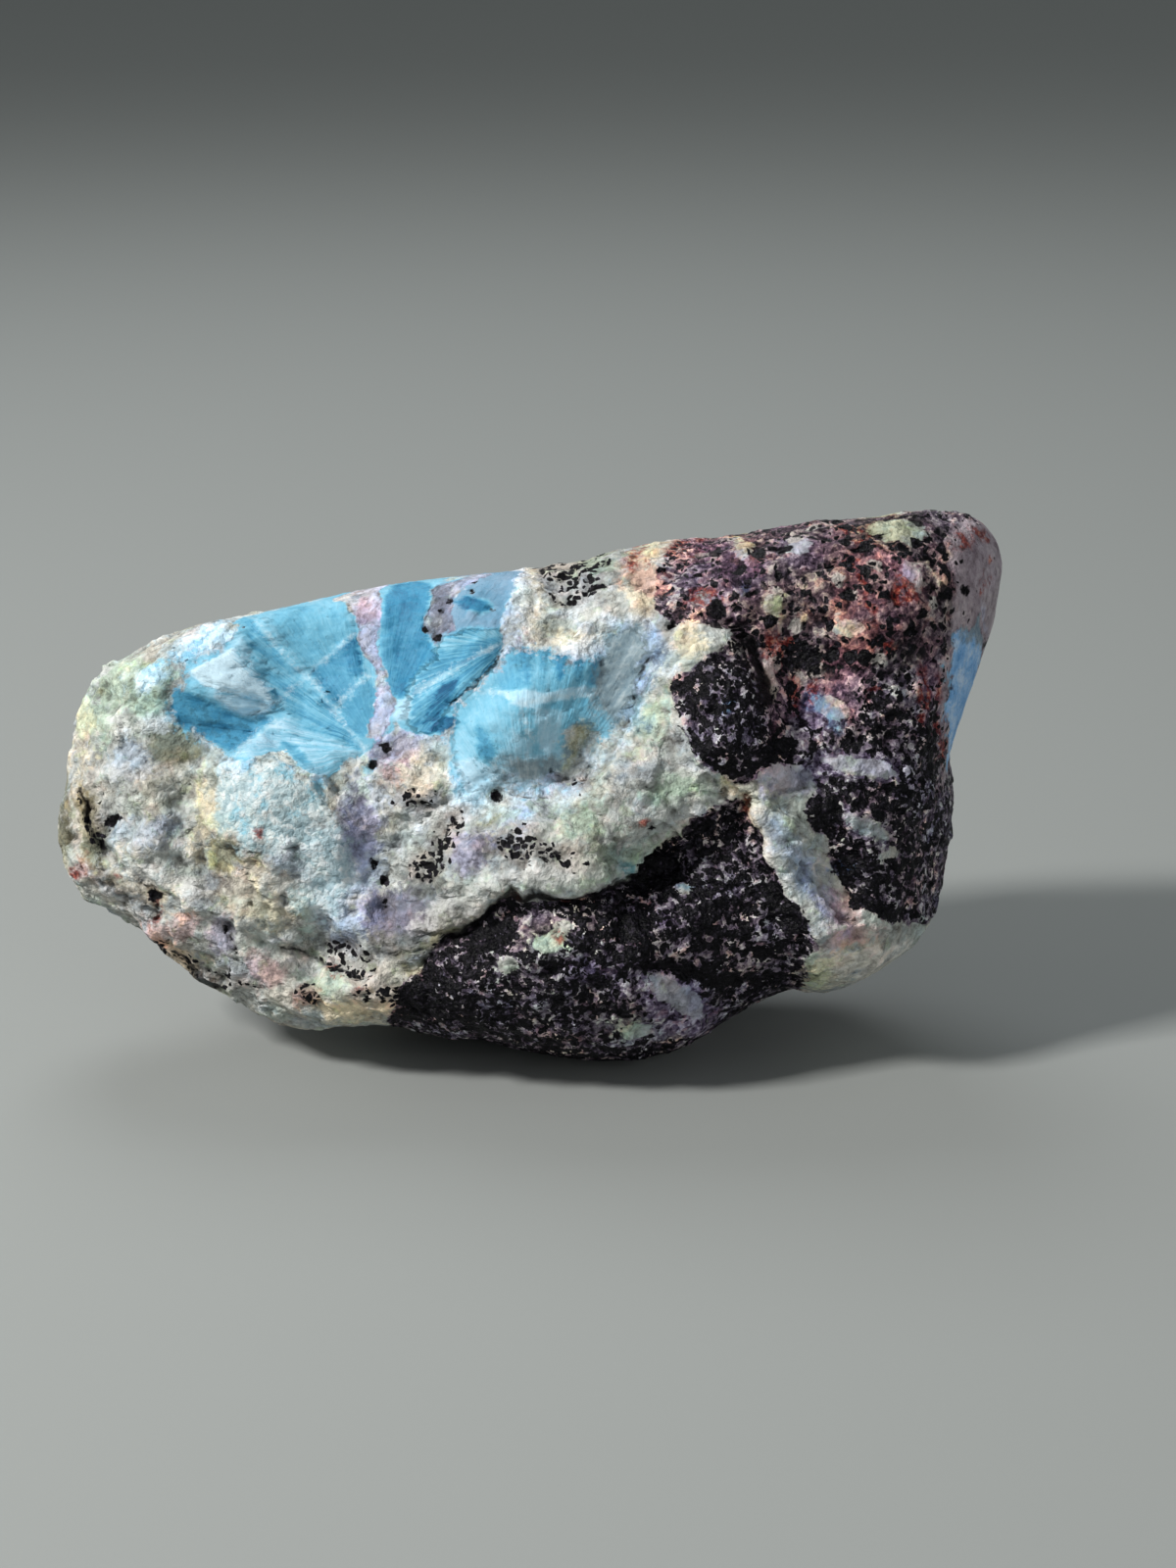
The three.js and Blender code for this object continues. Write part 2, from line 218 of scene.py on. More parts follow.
def inside(outline, x=seen_x, y=seen_y):
    """How far each point lies within an outline, in millimetres, below 0 outside it."""
    nearest = np.full(count, np.inf)
    within = np.zeros(count, bool)
    for start, end in zip(outline, outline[1:] + outline[:1]):
        nearest = np.minimum(nearest, to_piece(start, end, x, y))
        (ax, ay), (bx, by) = start, end
        crosses = (ay > y) != (by > y)
        at_y = ax + (y - ay) * (bx - ax) / (by - ay if by != ay else 1)
        within ^= crosses & (x < at_y)
    return np.where(within, nearest, -nearest) / POINTS_PER_MM


def along(line, x=seen_x, y=seen_y):
    """How far each point lies from a line, in millimetres, and which side of it: above 0 on its right."""
    nearest = np.full(count, np.inf)
    side = np.zeros(count)
    for start, end in zip(line, line[1:]):
        distance = to_piece(start, end, x, y)
        (ax, ay), (bx, by) = start, end
        closer = distance < nearest
        nearest = np.where(closer, distance, nearest)
        side = np.where(closer, np.sign((bx - ax) * (y - ay) - (by - ay) * (x - ax)), side)
    return nearest / POINTS_PER_MM, side


def ovals(*marks):
    """How far within any of some ovals each point lies. A mark is a centre, two half widths and a turn."""
    best = np.full(count, -9.0)
    for x, y, half_width, half_height, turn in marks:
        angle = math.radians(turn)
        dx = seen_x - x
        dy = y - seen_y
        rx = (dx * math.cos(angle) + dy * math.sin(angle)) / half_width
        ry = (dy * math.cos(angle) - dx * math.sin(angle)) / half_height
        depth = (1 - np.hypot(rx, ry)) * min(half_width, half_height) / POINTS_PER_MM
        best = np.maximum(best, depth)
    return best


# 1 on the broken face and 0 well behind its rim, where the same rock goes on with patches of its own.
front = smooth(out + 3 * cloudy(8, 2, 21.4), -14, -4)
fields = {}


def patchy(size, level, shift):
    """Patches of about the given millimetres anywhere on the stone: the higher the level, the fewer."""
    return 9 * cloudy(size, 3, shift) - level


def on_face(name, value, behind=-4.0):
    """Keeps a field for the material: its value on the broken face, and another behind the rim."""
    fields[name] = behind + (np.clip(value, -6, 6) - behind) * front
    return fields[name]


# The dark basalt
# The volcanic rock that the vein grew in: a low mass, a broken-off clast in the middle and the right end.
# It is made of black grains in a lilac-grey ground, and holds a few islands of the pale rock.
LOW_BASALT = [
    (395, 1040), (410, 1005), (425, 990), (440, 970), (452, 957), (470, 950), (480, 938), (497, 925),
    (515, 915), (540, 917), (580, 917), (612, 908), (640, 898), (655, 885), (665, 868), (685, 858),
    (705, 838), (725, 822), (755, 815), (765, 830), (775, 850), (782, 870), (797, 893), (805, 915),
    (820, 935), (835, 965), (825, 975), (822, 1000), (800, 1050), (700, 1120), (530, 1120), (400, 1080),
]
CLAST = [
    (681, 703), (692, 690), (705, 680), (720, 668), (737, 664), (745, 655), (753, 640), (770, 640),
    (800, 660), (825, 720), (815, 760), (800, 777), (785, 782), (772, 792), (760, 800), (740, 790),
    (722, 780), (710, 766), (700, 748), (690, 725),
]
RIGHT_BASALT = [
    (700, 500), (686, 552), (672, 580), (668, 605), (676, 630), (685, 642), (700, 636), (720, 640),
    (745, 642), (762, 665), (776, 700), (782, 735), (795, 780), (830, 785), (838, 800), (822, 820),
    (822, 842), (838, 852), (848, 885), (865, 905), (870, 925), (905, 937), (930, 945), (955, 938),
    (1010, 930), (1010, 640), (1000, 600), (1010, 560), (1000, 500),
]
TOP_BASALT = [(549, 560), (552, 600), (558, 618), (580, 624), (600, 616), (622, 600), (622, 560)]
SIDE_FACET = [
    (966, 548), (985, 532), (1005, 530), (1034, 555), (1034, 640), (1003, 700), (985, 760), (960, 800),
    (962, 700), (970, 645), (976, 600),
]
low_basalt = inside(LOW_BASALT)
clast = inside(CLAST)
right_basalt = inside(RIGHT_BASALT)
side_facet = inside(SIDE_FACET)
# Behind, the blue comes out in one wandering seam at about this height, in millimetres.
SEAM_HEIGHT = 46
from_seam = np.abs(0.8 * (place[:, 2] - SEAM_HEIGHT) + 0.28 * place[:, 0] + 9 * cloudy(30, 3, 7.7))
back_basalt = 0.35 * (place[:, 0] - 10) + 9 * cloudy(34, 3, 2.2)
back_basalt = np.minimum(back_basalt, from_seam - 5 - 5 * cloudy(9, 2, 14.6))
pale_islands = ovals(
    (915, 540, 32, 13, -8), (762, 560, 9, 10, 0), (790, 617, 10, 12, 0), (848, 722, 22, 12, -20),
    (876, 782, 36, 9, -8), (884, 843, 26, 8, -25), (930, 588, 11, 20, 20), (560, 962, 16, 10, 0),
    (520, 982, 10, 8, 0), (574, 948, 9, 8, 0), (690, 1016, 36, 12, -35), (868, 640, 16, 10, 0),
    (720, 612, 14, 8, 0), (812, 560, 16, 9, 20), (650, 1050, 20, 7, 0), (786, 690, 7, 22, 0),
    (700, 905, 10, 5, 0), (905, 872, 12, 6, 0),
)
basalt = np.minimum(np.maximum.reduce([low_basalt, clast, right_basalt]), -pale_islands)
on_face("basalt", basalt, 0)
fields["basalt"] += (1 - front) * back_basalt

# The share of black grains: dense in the clast and the lower masses, loose at the top right.
black = 0.40 + 0.16 * smooth(low_basalt, 0, 1) + 0.17 * smooth(clast, 0, 1)
for change, low, high, marks in [
    (0.2, -1, 3, [(890, 850, 60, 110, 0), (945, 760, 24, 80, 0), (905, 735, 40, 30, 0)]),
    (0.4, -0.5, 1.5, [(665, 888, 36, 24, 35), (705, 992, 70, 10, -8), (805, 925, 16, 34, 30)]),
    (0.4, -0.5, 1, [(818, 668, 22, 18, 0), (842, 828, 24, 18, -20), (795, 772, 20, 20, 0)]),
    (0.3, -0.5, 1.5, [(430, 1010, 30, 24, 20), (500, 955, 26, 18, 0), (640, 945, 40, 14, 10)]),
    (0.3, -0.5, 1.5, [(455, 1030, 50, 16, -10), (890, 930, 40, 16, -10), (752, 655, 9, 24, 25)]),
    (-0.1, -1, 2, [(740, 600, 60, 40, 0), (700, 555, 60, 14, 8), (845, 560, 20, 20, 0)]),
    (-0.45, -1, 1, [(688, 1022, 46, 24, -35), (812, 565, 24, 18, 0), (558, 950, 26, 22, 0)]),
    (-0.45, -1, 1, [(872, 782, 40, 12, -8), (880, 845, 30, 14, -25), (845, 720, 30, 26, 0)]),
    (-0.3, -1, 1, [(800, 640, 22, 10, 0), (865, 640, 22, 22, 0), (650, 1050, 60, 14, 0)]),
    (-0.3, -1, 1, [(790, 700, 12, 40, 0), (925, 605, 24, 26, 0), (948, 690, 12, 34, 0)]),
]:
    black += change * smooth(ovals(*marks), low, high)
black -= 0.35 * smooth(side_facet, -0.5, 0.5)
in_basalt = smooth(fields["basalt"], -0.15, 0.15)
black *= in_basalt

# Patches of the pale rock that hold black grains too.
speckled = ovals(
    (452, 862, 14, 30, -28), (436, 886, 14, 12, -30), (530, 862, 22, 18, -20), (570, 874, 22, 10, -25),
    (428, 816, 20, 8, 0), (353, 980, 30, 17, -28), (385, 1014, 24, 9, 0), (313, 1015, 9, 7, 0),
    (178, 972, 26, 7, -38), (98, 845, 7, 26, 25), (238, 1000, 16, 8, -20), (590, 800, 10, 6, 0),
)
speckled = np.maximum(speckled, inside(TOP_BASALT) - 0.9)
loose = 0.75 * smooth(speckled, -0.8, 0.5) * (1 - in_basalt)
blots = ovals(
    (392, 762, 6, 7, -40), (379, 882, 5, 6, 0), (393, 897, 7, 6, 0), (391, 920, 2.5, 8, 0),
    (506, 812, 6, 9, 0), (382, 781, 6, 5, 0), (114, 838, 6, 9, -50), (94, 830, 2.5, 14, 20),
    (106, 862, 4, 6, 20), (158, 914, 7, 9, 30), (476, 594, 3, 3, 0), (479, 605, 3, 3, 0),
    (457, 617, 4, 4, 0), (435, 642, 3, 4, 0), (445, 650, 4, 4, 0), (452, 627, 3, 3, 0),
    (486, 627, 3, 2, 0), (500, 621, 4, 2, 0), (163, 963, 8, 4, -40), (176, 661, 5, 3, 0),
    (247, 642, 3, 2, 0), (463, 838, 4, 6, 0), (555, 878, 5, 4, 0), (520, 857, 4, 6, -40),
    (558, 590, 7, 6, 0), (612, 598, 8, 4, 10), (204, 893, 6, 3, 20), (238, 965, 1.8, 14, 20),
    (667, 846, 5, 3, 0), (448, 870, 5, 5, 0), (458, 850, 4, 6, 0), (438, 884, 6, 4, 0),
    (683, 642, 6, 4, 0), (800, 562, 6, 8, -30), (777, 566, 7, 7, 0), (848, 575, 6, 7, 0),
    (872, 565, 5, 6, 0), (915, 605, 4, 6, 0), (950, 600, 4, 6, 0), (985, 606, 6, 8, 20),
    (770, 604, 10, 4, 25), (835, 622, 7, 4, -20), (896, 548, 6, 5, 0), (930, 645, 7, 6, 0),
    (1019, 568, 3, 6, 0), (1008, 652, 3, 7, 0),
)
on_face("blots", blots, patchy(3.0, 5.0, 40.2))
fields["black"] = black * front + (1 - front) * 0.44 * in_basalt
fields["coarse"] = front * smooth(ovals((850, 600, 180, 110, 0)), 0, 4) + 0.4 * (1 - front)
fields["grains"] = loose * front + 0.95 * fields["black"] + 0.1 * (1 - front)
fields["grains"] += 0.24 * in_basalt * fields["coarse"]


# The pale rock
# Crushed and altered rock between the basalt and the blue, soft and sugary, grown together with both. It is
# white, beige, green, lilac and blue-grey in patches that run into each other.
on_face("cream", ovals(
    (213, 832, 12, 44, -5), (428, 790, 30, 20, 0), (542, 612, 12, 46, 0), (270, 912, 56, 34, -10),
    (370, 1031, 50, 12, 0), (345, 835, 7, 42, 8), (706, 655, 26, 12, -30), (592, 748, 8, 24, -15),
    (292, 774, 24, 6, -10), (655, 600, 22, 34, 0), (185, 985, 44, 14, -38), (140, 905, 40, 12, -30),
    (865, 985, 44, 14, 20), (340, 606, 24, 10, 10), (762, 560, 10, 12, 0), (842, 630, 22, 12, 0),
    (580, 650, 34, 10, -10), (85, 760, 9, 40, -10), (765, 830, 5, 30, 25), (875, 650, 20, 16, 0),
), patchy(14, 1.0, 30.1))
on_face("olive", ovals(
    (905, 538, 40, 18, -8), (790, 617, 12, 14, 0), (762, 560, 10, 12, 0), (66, 835, 7, 60, 4),
    (595, 745, 6, 22, -15), (575, 780, 10, 12, 0), (440, 960, 20, 6, 25), (230, 870, 20, 20, 0),
    (180, 760, 28, 22, 0), (505, 830, 20, 10, 20), (95, 845, 12, 34, 14), (430, 990, 14, 10, 0),
), patchy(9, 3.5, 31.3))
on_face("bluish", ovals(
    (135, 780, 20, 18, 0), (140, 850, 36, 18, 10), (330, 880, 60, 54, 10), (640, 690, 36, 60, -14),
    (540, 785, 26, 30, 0), (370, 815, 26, 30, 0), (528, 610, 18, 40, 0), (810, 870, 10, 50, 28),
    (520, 840, 14, 22, -20), (350, 940, 40, 16, 0),
), patchy(14, 1.2, 32.7))
on_face("green", ovals(
    (140, 700, 44, 30, 20), (700, 800, 30, 12, 12), (640, 870, 46, 18, 25), (250, 846, 40, 10, -15),
    (664, 730, 16, 34, -10), (500, 815, 18, 9, 0), (315, 925, 10, 30, 0), (590, 835, 34, 16, 0),
    (610, 578, 16, 12, 0), (100, 730, 20, 30, 0), (330, 1000, 20, 12, 0), (830, 985, 16, 20, 0),
    (664, 562, 24, 9, 0), (790, 617, 9, 12, 0), (560, 962, 24, 16, 0), (520, 990, 14, 10, 0),
    (640, 1045, 30, 10, 0), (880, 850, 22, 9, -20),
), patchy(12, 1.8, 33.9))
on_face("white", ovals(
    (496, 822, 66, 10, 12), (480, 914, 70, 11, 26), (570, 888, 46, 9, 4), (597, 660, 14, 8, 20),
    (602, 626, 24, 11, 10), (684, 688, 20, 7, -15), (150, 738, 22, 7, 5), (112, 665, 28, 9, 34),
    (548, 757, 7, 3, 0), (800, 905, 7, 56, 28), (697, 784, 24, 7, -24), (575, 812, 26, 10, 10),
    (655, 852, 24, 8, 35), (931, 553, 8, 4, 0), (385, 604, 9, 10, 0), (150, 893, 24, 8, -10),
    (205, 905, 16, 10, 0), (480, 785, 12, 26, 0), (420, 726, 12, 7, 30), (274, 726, 8, 4, -20),
    (218, 706, 6, 4, 0), (574, 948, 9, 8, 0), (520, 975, 14, 9, 0), (890, 982, 40, 12, 24),
    (130, 790, 20, 6, 0),
), patchy(8, 2.2, 34.5))
on_face("pink", ovals(
    (270, 986, 18, 22, 0), (375, 620, 12, 14, 10), (655, 590, 26, 14, -20), (640, 575, 14, 12, 0),
    (868, 935, 14, 26, 20), (262, 852, 6, 6, 0), (400, 790, 12, 12, 0), (160, 950, 14, 10, 0),
    (190, 945, 14, 14, 0), (500, 690, 6, 40, -38), (860, 955, 30, 10, 20), (790, 705, 14, 44, 0),
    (865, 690, 26, 40, 0), (950, 690, 14, 40, 0), (900, 610, 50, 50, 0), (700, 560, 40, 14, 10),
    (85, 885, 9, 8, 0), (313, 1015, 10, 8, 0), (640, 860, 9, 5, 0),
), patchy(9, 3.2, 35.8))
on_face("lilac", ovals(
    (405, 930, 40, 24, 10), (365, 850, 22, 40, 0), (404, 764, 26, 18, 30), (228, 955, 14, 22, 0),
    (800, 792, 32, 16, 0), (850, 925, 12, 30, 30), (480, 870, 16, 24, -30), (560, 800, 20, 16, 0),
    (688, 1022, 48, 26, -35), (812, 562, 26, 20, 0), (872, 782, 40, 13, -8), (740, 590, 44, 40, 0),
    (828, 725, 16, 22, 0), (880, 845, 30, 12, -25), (1000, 570, 30, 40, 0), (600, 990, 40, 12, 0),
    (925, 585, 12, 8, 0), (660, 940, 30, 8, 0),
), patchy(12, 2.4, 36.6))
# Partly painted shade on slopes that face away from the lamp, as below the lip low on the left, and partly
# darker grey rock.
on_face("shade", ovals(
    (424, 940, 58, 42, 20), (440, 925, 34, 16, -20), (68, 830, 8, 46, 4), (182, 762, 34, 22, 10),
    (100, 850, 12, 28, 14), (345, 830, 8, 40, 8), (590, 770, 7, 22, -12), (250, 860, 26, 16, 0),
    (215, 905, 18, 14, 0), (500, 868, 18, 14, -20), (300, 985, 24, 12, -20), (120, 905, 30, 9, -35),
    (480, 650, 30, 6, 0), (665, 700, 8, 50, -18), (640, 862, 16, 9, 30), (398, 768, 16, 10, 30),
    (592, 765, 8, 26, -12), (362, 826, 12, 30, 0), (448, 620, 14, 30, 10), (345, 960, 40, 8, 15),
    (600, 800, 30, 7, 10),
), patchy(9, 2.6, 37.2))
on_face("teal", ovals(
    (852, 735, 10, 13, 0), (862, 884, 12, 8, 0), (832, 715, 12, 10, 0), (743, 722, 8, 8, 0),
    (640, 885, 8, 6, 0), (700, 905, 14, 6, 0), (760, 600, 5, 8, 0), (450, 670, 6, 6, 0),
))
on_face("rust", ovals(
    (81, 886, 5, 7, 0), (123, 893, 4, 3, 0), (640, 575, 7, 12, 0), (655, 842, 8, 6, 0),
    (263, 851, 5, 6, 0), (690, 560, 16, 7, 0), (664, 578, 22, 3, -20), (926, 600, 15, 16, 20),
    (795, 662, 16, 16, -30), (886, 600, 5, 30, 15), (905, 660, 12, 9, 0), (812, 700, 6, 22, 0),
    (942, 705, 6, 26, 0), (958, 750, 6, 34, 0), (865, 540, 20, 5, -20), (760, 818, 5, 10, 0),
    (162, 925, 3, 9, 0), (893, 701, 7, 5, 0), (830, 698, 5, 14, 0), (770, 570, 8, 5, 0),
    (715, 545, 10, 8, 0), (980, 555, 12, 10, 0), (998, 545, 8, 8, 0), (1012, 572, 6, 5, 0),
    (1006, 598, 4, 6, 0), (345, 990, 10, 5, -20), (365, 1012, 6, 5, 0), (860, 585, 6, 14, -20),
    (720, 610, 20, 10, 0), (570, 957, 6, 6, 0), (560, 915, 40, 3, -5),
), patchy(5, 5.0, 38.4))


# The blue larimar
# Fibrous pectolite that grew in the rock, outwards in fans from a few hearts. It broke along flat blades,
# and the fibres of each blade run to its heart.
FAN_HEART = (385, 764)
STRIPE_HEART = (516, 658)
SECOND_HEART = (540, 850)
LEAF_HEART = (310, 726)
FAN = [
    (246, 634), (262, 622), (300, 606), (345, 594), (400, 585), (440, 578), (520, 568), (527, 600),
    (508, 630), (512, 650), (517, 660), (500, 682), (480, 704), (462, 722), (466, 740), (448, 750),
    (425, 750), (405, 735), (392, 752), (372, 768), (350, 778), (335, 795), (318, 786), (300, 780),
    (290, 768), (262, 771), (238, 772), (222, 762), (205, 750), (186, 742), (172, 722), (173, 700),
    (183, 690), (192, 678), (213, 668), (236, 655),
]
STRIPES = [
    (418, 708), (430, 683), (447, 672), (450, 652), (475, 642), (508, 641), (516, 660), (500, 682),
    (480, 704), (460, 724), (440, 748), (424, 748), (415, 730),
]
SECOND_FAN = [
    (516, 666), (535, 662), (560, 664), (590, 674), (612, 668), (622, 650), (645, 640), (662, 660),
    (655, 690), (640, 725), (622, 752), (606, 770), (600, 742), (588, 742), (578, 762), (570, 786),
    (556, 800), (530, 806), (512, 790), (500, 806), (478, 806), (466, 785), (462, 748), (470, 722),
    (485, 700), (500, 683),
]
LILAC_PATCH = [
    (441, 598), (455, 580), (475, 572), (530, 564), (527, 600), (512, 622), (510, 640), (475, 640),
    (452, 648), (446, 660), (438, 650), (433, 636), (438, 616),
]
LENS = [(464, 614), (477, 609), (495, 614), (502, 621), (490, 625), (472, 621)]
LILAC_LEFT = [
    (436, 600), (455, 580), (482, 572), (474, 596), (461, 612), (466, 640), (446, 660), (433, 636),
]
VEIN = [
    (330, 585), (336, 606), (352, 616), (362, 630), (368, 645), (371, 663), (378, 676), (385, 696),
    (384, 715), (378, 735), (374, 752), (386, 760), (398, 738), (403, 718), (396, 700), (390, 680),
    (387, 645), (391, 618), (398, 602), (398, 585),
]
SIDE_BLUE = [(971, 649), (1003, 629), (1006, 658), (993, 708), (978, 758), (964, 785), (966, 700)]

# How pale each patch of blue is, from 0 for deep teal to 1 for white, and its outline.
WHITE_LEAF = [
    (192, 687), (202, 679), (215, 674), (239, 658), (252, 672), (268, 697), (281, 716), (266, 714),
    (243, 709), (222, 704), (203, 696),
]
GREY_LEAF = [(216, 706), (239, 710), (262, 715), (281, 717), (273, 727), (250, 732), (229, 722)]
DEEP_BAND = [
    (250, 634), (258, 628), (264, 645), (284, 661), (302, 697), (322, 709), (342, 724), (358, 746),
    (371, 768), (352, 760), (330, 744), (310, 733), (292, 723), (281, 716), (266, 692), (255, 666),
]
LOW_BLADE = [
    (236, 771), (255, 754), (281, 737), (292, 729), (318, 745), (345, 757), (368, 767), (346, 775),
    (331, 795), (318, 789), (303, 776), (292, 768), (279, 766), (255, 773),
]
MOTTLED_TEAL = [
    (173, 690), (187, 705), (204, 712), (218, 718), (240, 730), (256, 735), (276, 731), (281, 736),
    (262, 748), (240, 768), (218, 758), (187, 742), (173, 726), (166, 705),
]
MOTTLED_BAND = [(520, 656), (600, 664), (602, 684), (560, 682), (520, 684)]
# Besides the blue's own paleness, these tones hold painted light and shade: each flat blade is lighter or
# darker as the light falls on it.
BLUE_PATCHES = [
    (1.12, WHITE_LEAF),
    (0.66, [(232, 660), (246, 644), (258, 676), (266, 700), (256, 690), (244, 674)]),
    (0.90, GREY_LEAF),
    (0.44, DEEP_BAND),
    (0.48, [(279, 634), (300, 618), (321, 612), (352, 630), (366, 650), (350, 657), (332, 672), (316, 687),
            (300, 674), (287, 661)]),
    (0.30, [(316, 687), (332, 672), (350, 657), (367, 660), (371, 687), (358, 704), (344, 721), (330, 708)]),
    (0.14, [(350, 660), (362, 648), (368, 665), (370, 688), (358, 690)]),
    (0.34, [(345, 722), (358, 706), (374, 690), (385, 706), (382, 735), (370, 752), (354, 742)]),
    (0.20, [(394, 612), (402, 602), (420, 590), (442, 588), (441, 615), (435, 630), (434, 642), (445, 665),
            (447, 670), (430, 682), (420, 697), (410, 715), (400, 705), (394, 687), (390, 670), (387, 642)]),
    (0.30, [(388, 640), (396, 640), (402, 668), (406, 700), (410, 716), (400, 706), (393, 687)]),
    (0.72, LOW_BLADE),
    (0.40, [(287, 755), (300, 760), (318, 776), (318, 784), (308, 779), (289, 763)]),
    (0.66, [(318, 747), (345, 757), (368, 767), (346, 775), (331, 790), (322, 776), (300, 758)]),
    (0.27, MOTTLED_TEAL),
    (0.36, STRIPES),
    (0.56, [(446, 656), (475, 645), (507, 642), (509, 649), (480, 655), (455, 666)]),
    (0.44, [(424, 704), (450, 688), (480, 670), (510, 654), (480, 680), (455, 694), (430, 716)]),
    (0.30, [(470, 672), (490, 662), (508, 658), (496, 676), (474, 690)]),
    (0.05, [(427, 742), (440, 718), (452, 697), (467, 690), (465, 703), (457, 716), (444, 734)]),
    (0.80, [(400, 716), (421, 709), (420, 732), (402, 738)]),
    (0.02, [(447, 730), (465, 732), (462, 750), (442, 746), (434, 749)]),
    (0.52, SECOND_FAN),
    (0.56, [(495, 708), (521, 716), (533, 742), (520, 762), (505, 757), (495, 735)]),
    (0.42, [(505, 694), (520, 670), (532, 668), (532, 700), (524, 712), (508, 704)]),
    (0.24, [(529, 660), (547, 662), (542, 690), (538, 699), (533, 684)]),
    (0.32, [(549, 660), (562, 660), (558, 680), (554, 698), (551, 682)]),
    (0.22, [(565, 660), (581, 664), (577, 686), (570, 697), (567, 680)]),
    (0.30, [(584, 662), (599, 668), (594, 690), (590, 706), (586, 684)]),
    (0.30, [(601, 674), (608, 674), (606, 704), (602, 694)]),
    (0.12, [(611, 666), (614, 666), (613, 708), (611, 700)]),
    (0.82, [(512, 706), (530, 703), (560, 706), (588, 700), (607, 702), (609, 711), (584, 712), (560, 717),
            (534, 722), (520, 716)]),
    (0.68, [(519, 742), (545, 757), (543, 775), (530, 792), (517, 775)]),
    (0.74, [(545, 721), (575, 725), (571, 760), (556, 775), (549, 756)]),
    (0.50, [(575, 714), (600, 716), (596, 741), (578, 738)]),
    (0.70, [(498, 772), (520, 760), (548, 771), (572, 762), (586, 775), (574, 794), (548, 806), (510, 806)]),
    (0.34, [(484, 740), (492, 742), (507, 768), (500, 778), (488, 768)]),
    (0.66, [(464, 748), (484, 722), (486, 740), (486, 770), (498, 800), (476, 800), (464, 775)]),
    (0.84, [(462, 778), (484, 772), (500, 782), (520, 786), (545, 792), (566, 790), (560, 806), (530, 812),
            (476, 812)]),
    (0.60, LILAC_PATCH),
    (0.16, LENS),
    (0.40, SIDE_BLUE),
]

fan = inside(FAN)
second_fan = inside(SECOND_FAN)
lilac_patch = np.minimum(inside(LILAC_PATCH), -inside(LENS))
veiled = np.maximum(np.minimum(lilac_patch, inside(LILAC_LEFT)), inside(VEIN))
side_blue = inside(SIDE_BLUE)
seam = 1.6 + 8 * cloudy(18, 2, 8.8) + 4 * cloudy(5, 3, 17.1) - from_seam
ragged = 0.3  # where the blue fades into the rock, its edge is drawn out
crisp = ragged + (1 - ragged) * smooth(seen_x, 195, 262)
blue = np.maximum.reduce([np.minimum(fan * crisp, -veiled), ragged * second_fan, side_blue])
on_face("blue", blue, 0)
fields["blue"] += (1 - front) * seam
on_face("veil", np.minimum(veiled, fan + 1))
on_face("smoky", lilac_patch)
on_face("side_blue", side_blue)
on_face("side_facet", np.minimum(side_facet, -side_blue))
on_face("slate", ovals(
    (640, 690, 34, 58, -14), (592, 768, 13, 26, -12), (545, 787, 34, 16, 0), (1000, 640, 20, 14, 0),
))
on_face("mottled", np.maximum.reduce([
    inside(MOTTLED_TEAL), 0.6 * inside(MOTTLED_BAND), ovals((500, 775, 14, 20, 0)),
]))

pale = np.full(count, 0.55)
for tone, outline in BLUE_PATCHES:
    share = smooth(inside(outline, straight_x, straight_y), -0.15, 0.15)
    pale += (tone - pale) * share
fields["pale"] = pale * front + (1 - front) * (0.6 + 0.8 * cloudy(5, 3, 3.1))
on_face("ice", ovals(
    (262, 802, 42, 32, 0), (238, 815, 20, 40, 10), (310, 815, 34, 24, 0), (485, 795, 20, 26, 0),
    (278, 842, 44, 24, 10), (332, 890, 30, 50, -8), (545, 800, 26, 12, 0), (205, 656, 38, 14, 18),
    (150, 690, 20, 12, 30),
), patchy(14, 3.4, 39.7))
on_face("cyan", ovals(
    (264, 802, 7, 26, 8), (292, 790, 12, 7, -30), (244, 835, 5, 18, 12), (322, 806, 12, 10, 0),
    (470, 780, 8, 18, 0), (378, 784, 8, 6, 0), (300, 830, 10, 5, 20), (185, 668, 20, 6, 20),
    (540, 806, 16, 5, 0),
), patchy(9, 5.0, 41.3))


# How far out from a heart, in millimetres, the fibres have their true width.
FIBRE_RADIUS = 14


def fibres(heart):
    """Where each point lies among the fibres of a fan: across them and along them, in millimetres."""
    x = straight_x - heart[0]
    y = heart[1] - straight_y
    turn = np.arctan2(y, x)
    return FIBRE_RADIUS * np.where(turn < -2, turn + 2 * np.pi, turn), np.hypot(x, y) / POINTS_PER_MM


main_across, main_along = fibres(FAN_HEART)
stripe_across, stripe_along = fibres(STRIPE_HEART)
second_across, second_along = fibres(SECOND_HEART)
leaf_across, leaf_along = fibres(LEAF_HEART)
in_leaf = np.maximum(inside(WHITE_LEAF), inside(GREY_LEAF)) > 0
in_stripes = inside(STRIPES) > 0
in_second = second_fan > 0
plain_across = place @ np.array((0.8, 0.3, 0.5))
plain_along = place @ np.array((-0.5, 0.2, 0.8))
marked = (fan > -1) | in_second
others = [in_second, in_stripes, in_leaf]
across_fibres = np.select(others, [second_across, stripe_across, leaf_across], main_across)
along_fibres = np.select(others, [second_along, stripe_along, leaf_along], main_along)
use_fan = marked & (front > 0.5)
fields["across_fibres"] = np.where(use_fan, across_fibres, plain_across)
fields["along_fibres"] = np.where(use_fan, along_fibres, plain_along)
streaky = np.maximum.reduce([inside(shape) for shape in (STRIPES, DEEP_BAND, LOW_BLADE, WHITE_LEAF)])
on_face("streaky", streaky)

# Pale seams between the blades.
WEBS = [
    [(262, 632), (284, 661), (302, 681), (318, 692), (333, 713), (350, 737), (372, 764)],
    [(279, 718), (298, 703), (316, 687), (332, 672), (350, 657), (362, 646)],
    [(489, 706), (512, 707), (531, 718), (537, 745), (548, 757)],
    [(531, 718), (560, 711), (606, 709)],
    [(345, 720), (358, 704), (376, 690)],
    [(424, 706), (450, 690), (480, 671), (512, 656)],
    [(236, 772), (256, 755), (281, 736)],
]
web = 0.2 - np.minimum.reduce([along(line, straight_x, straight_y)[0] for line in WEBS])
on_face("web", web)


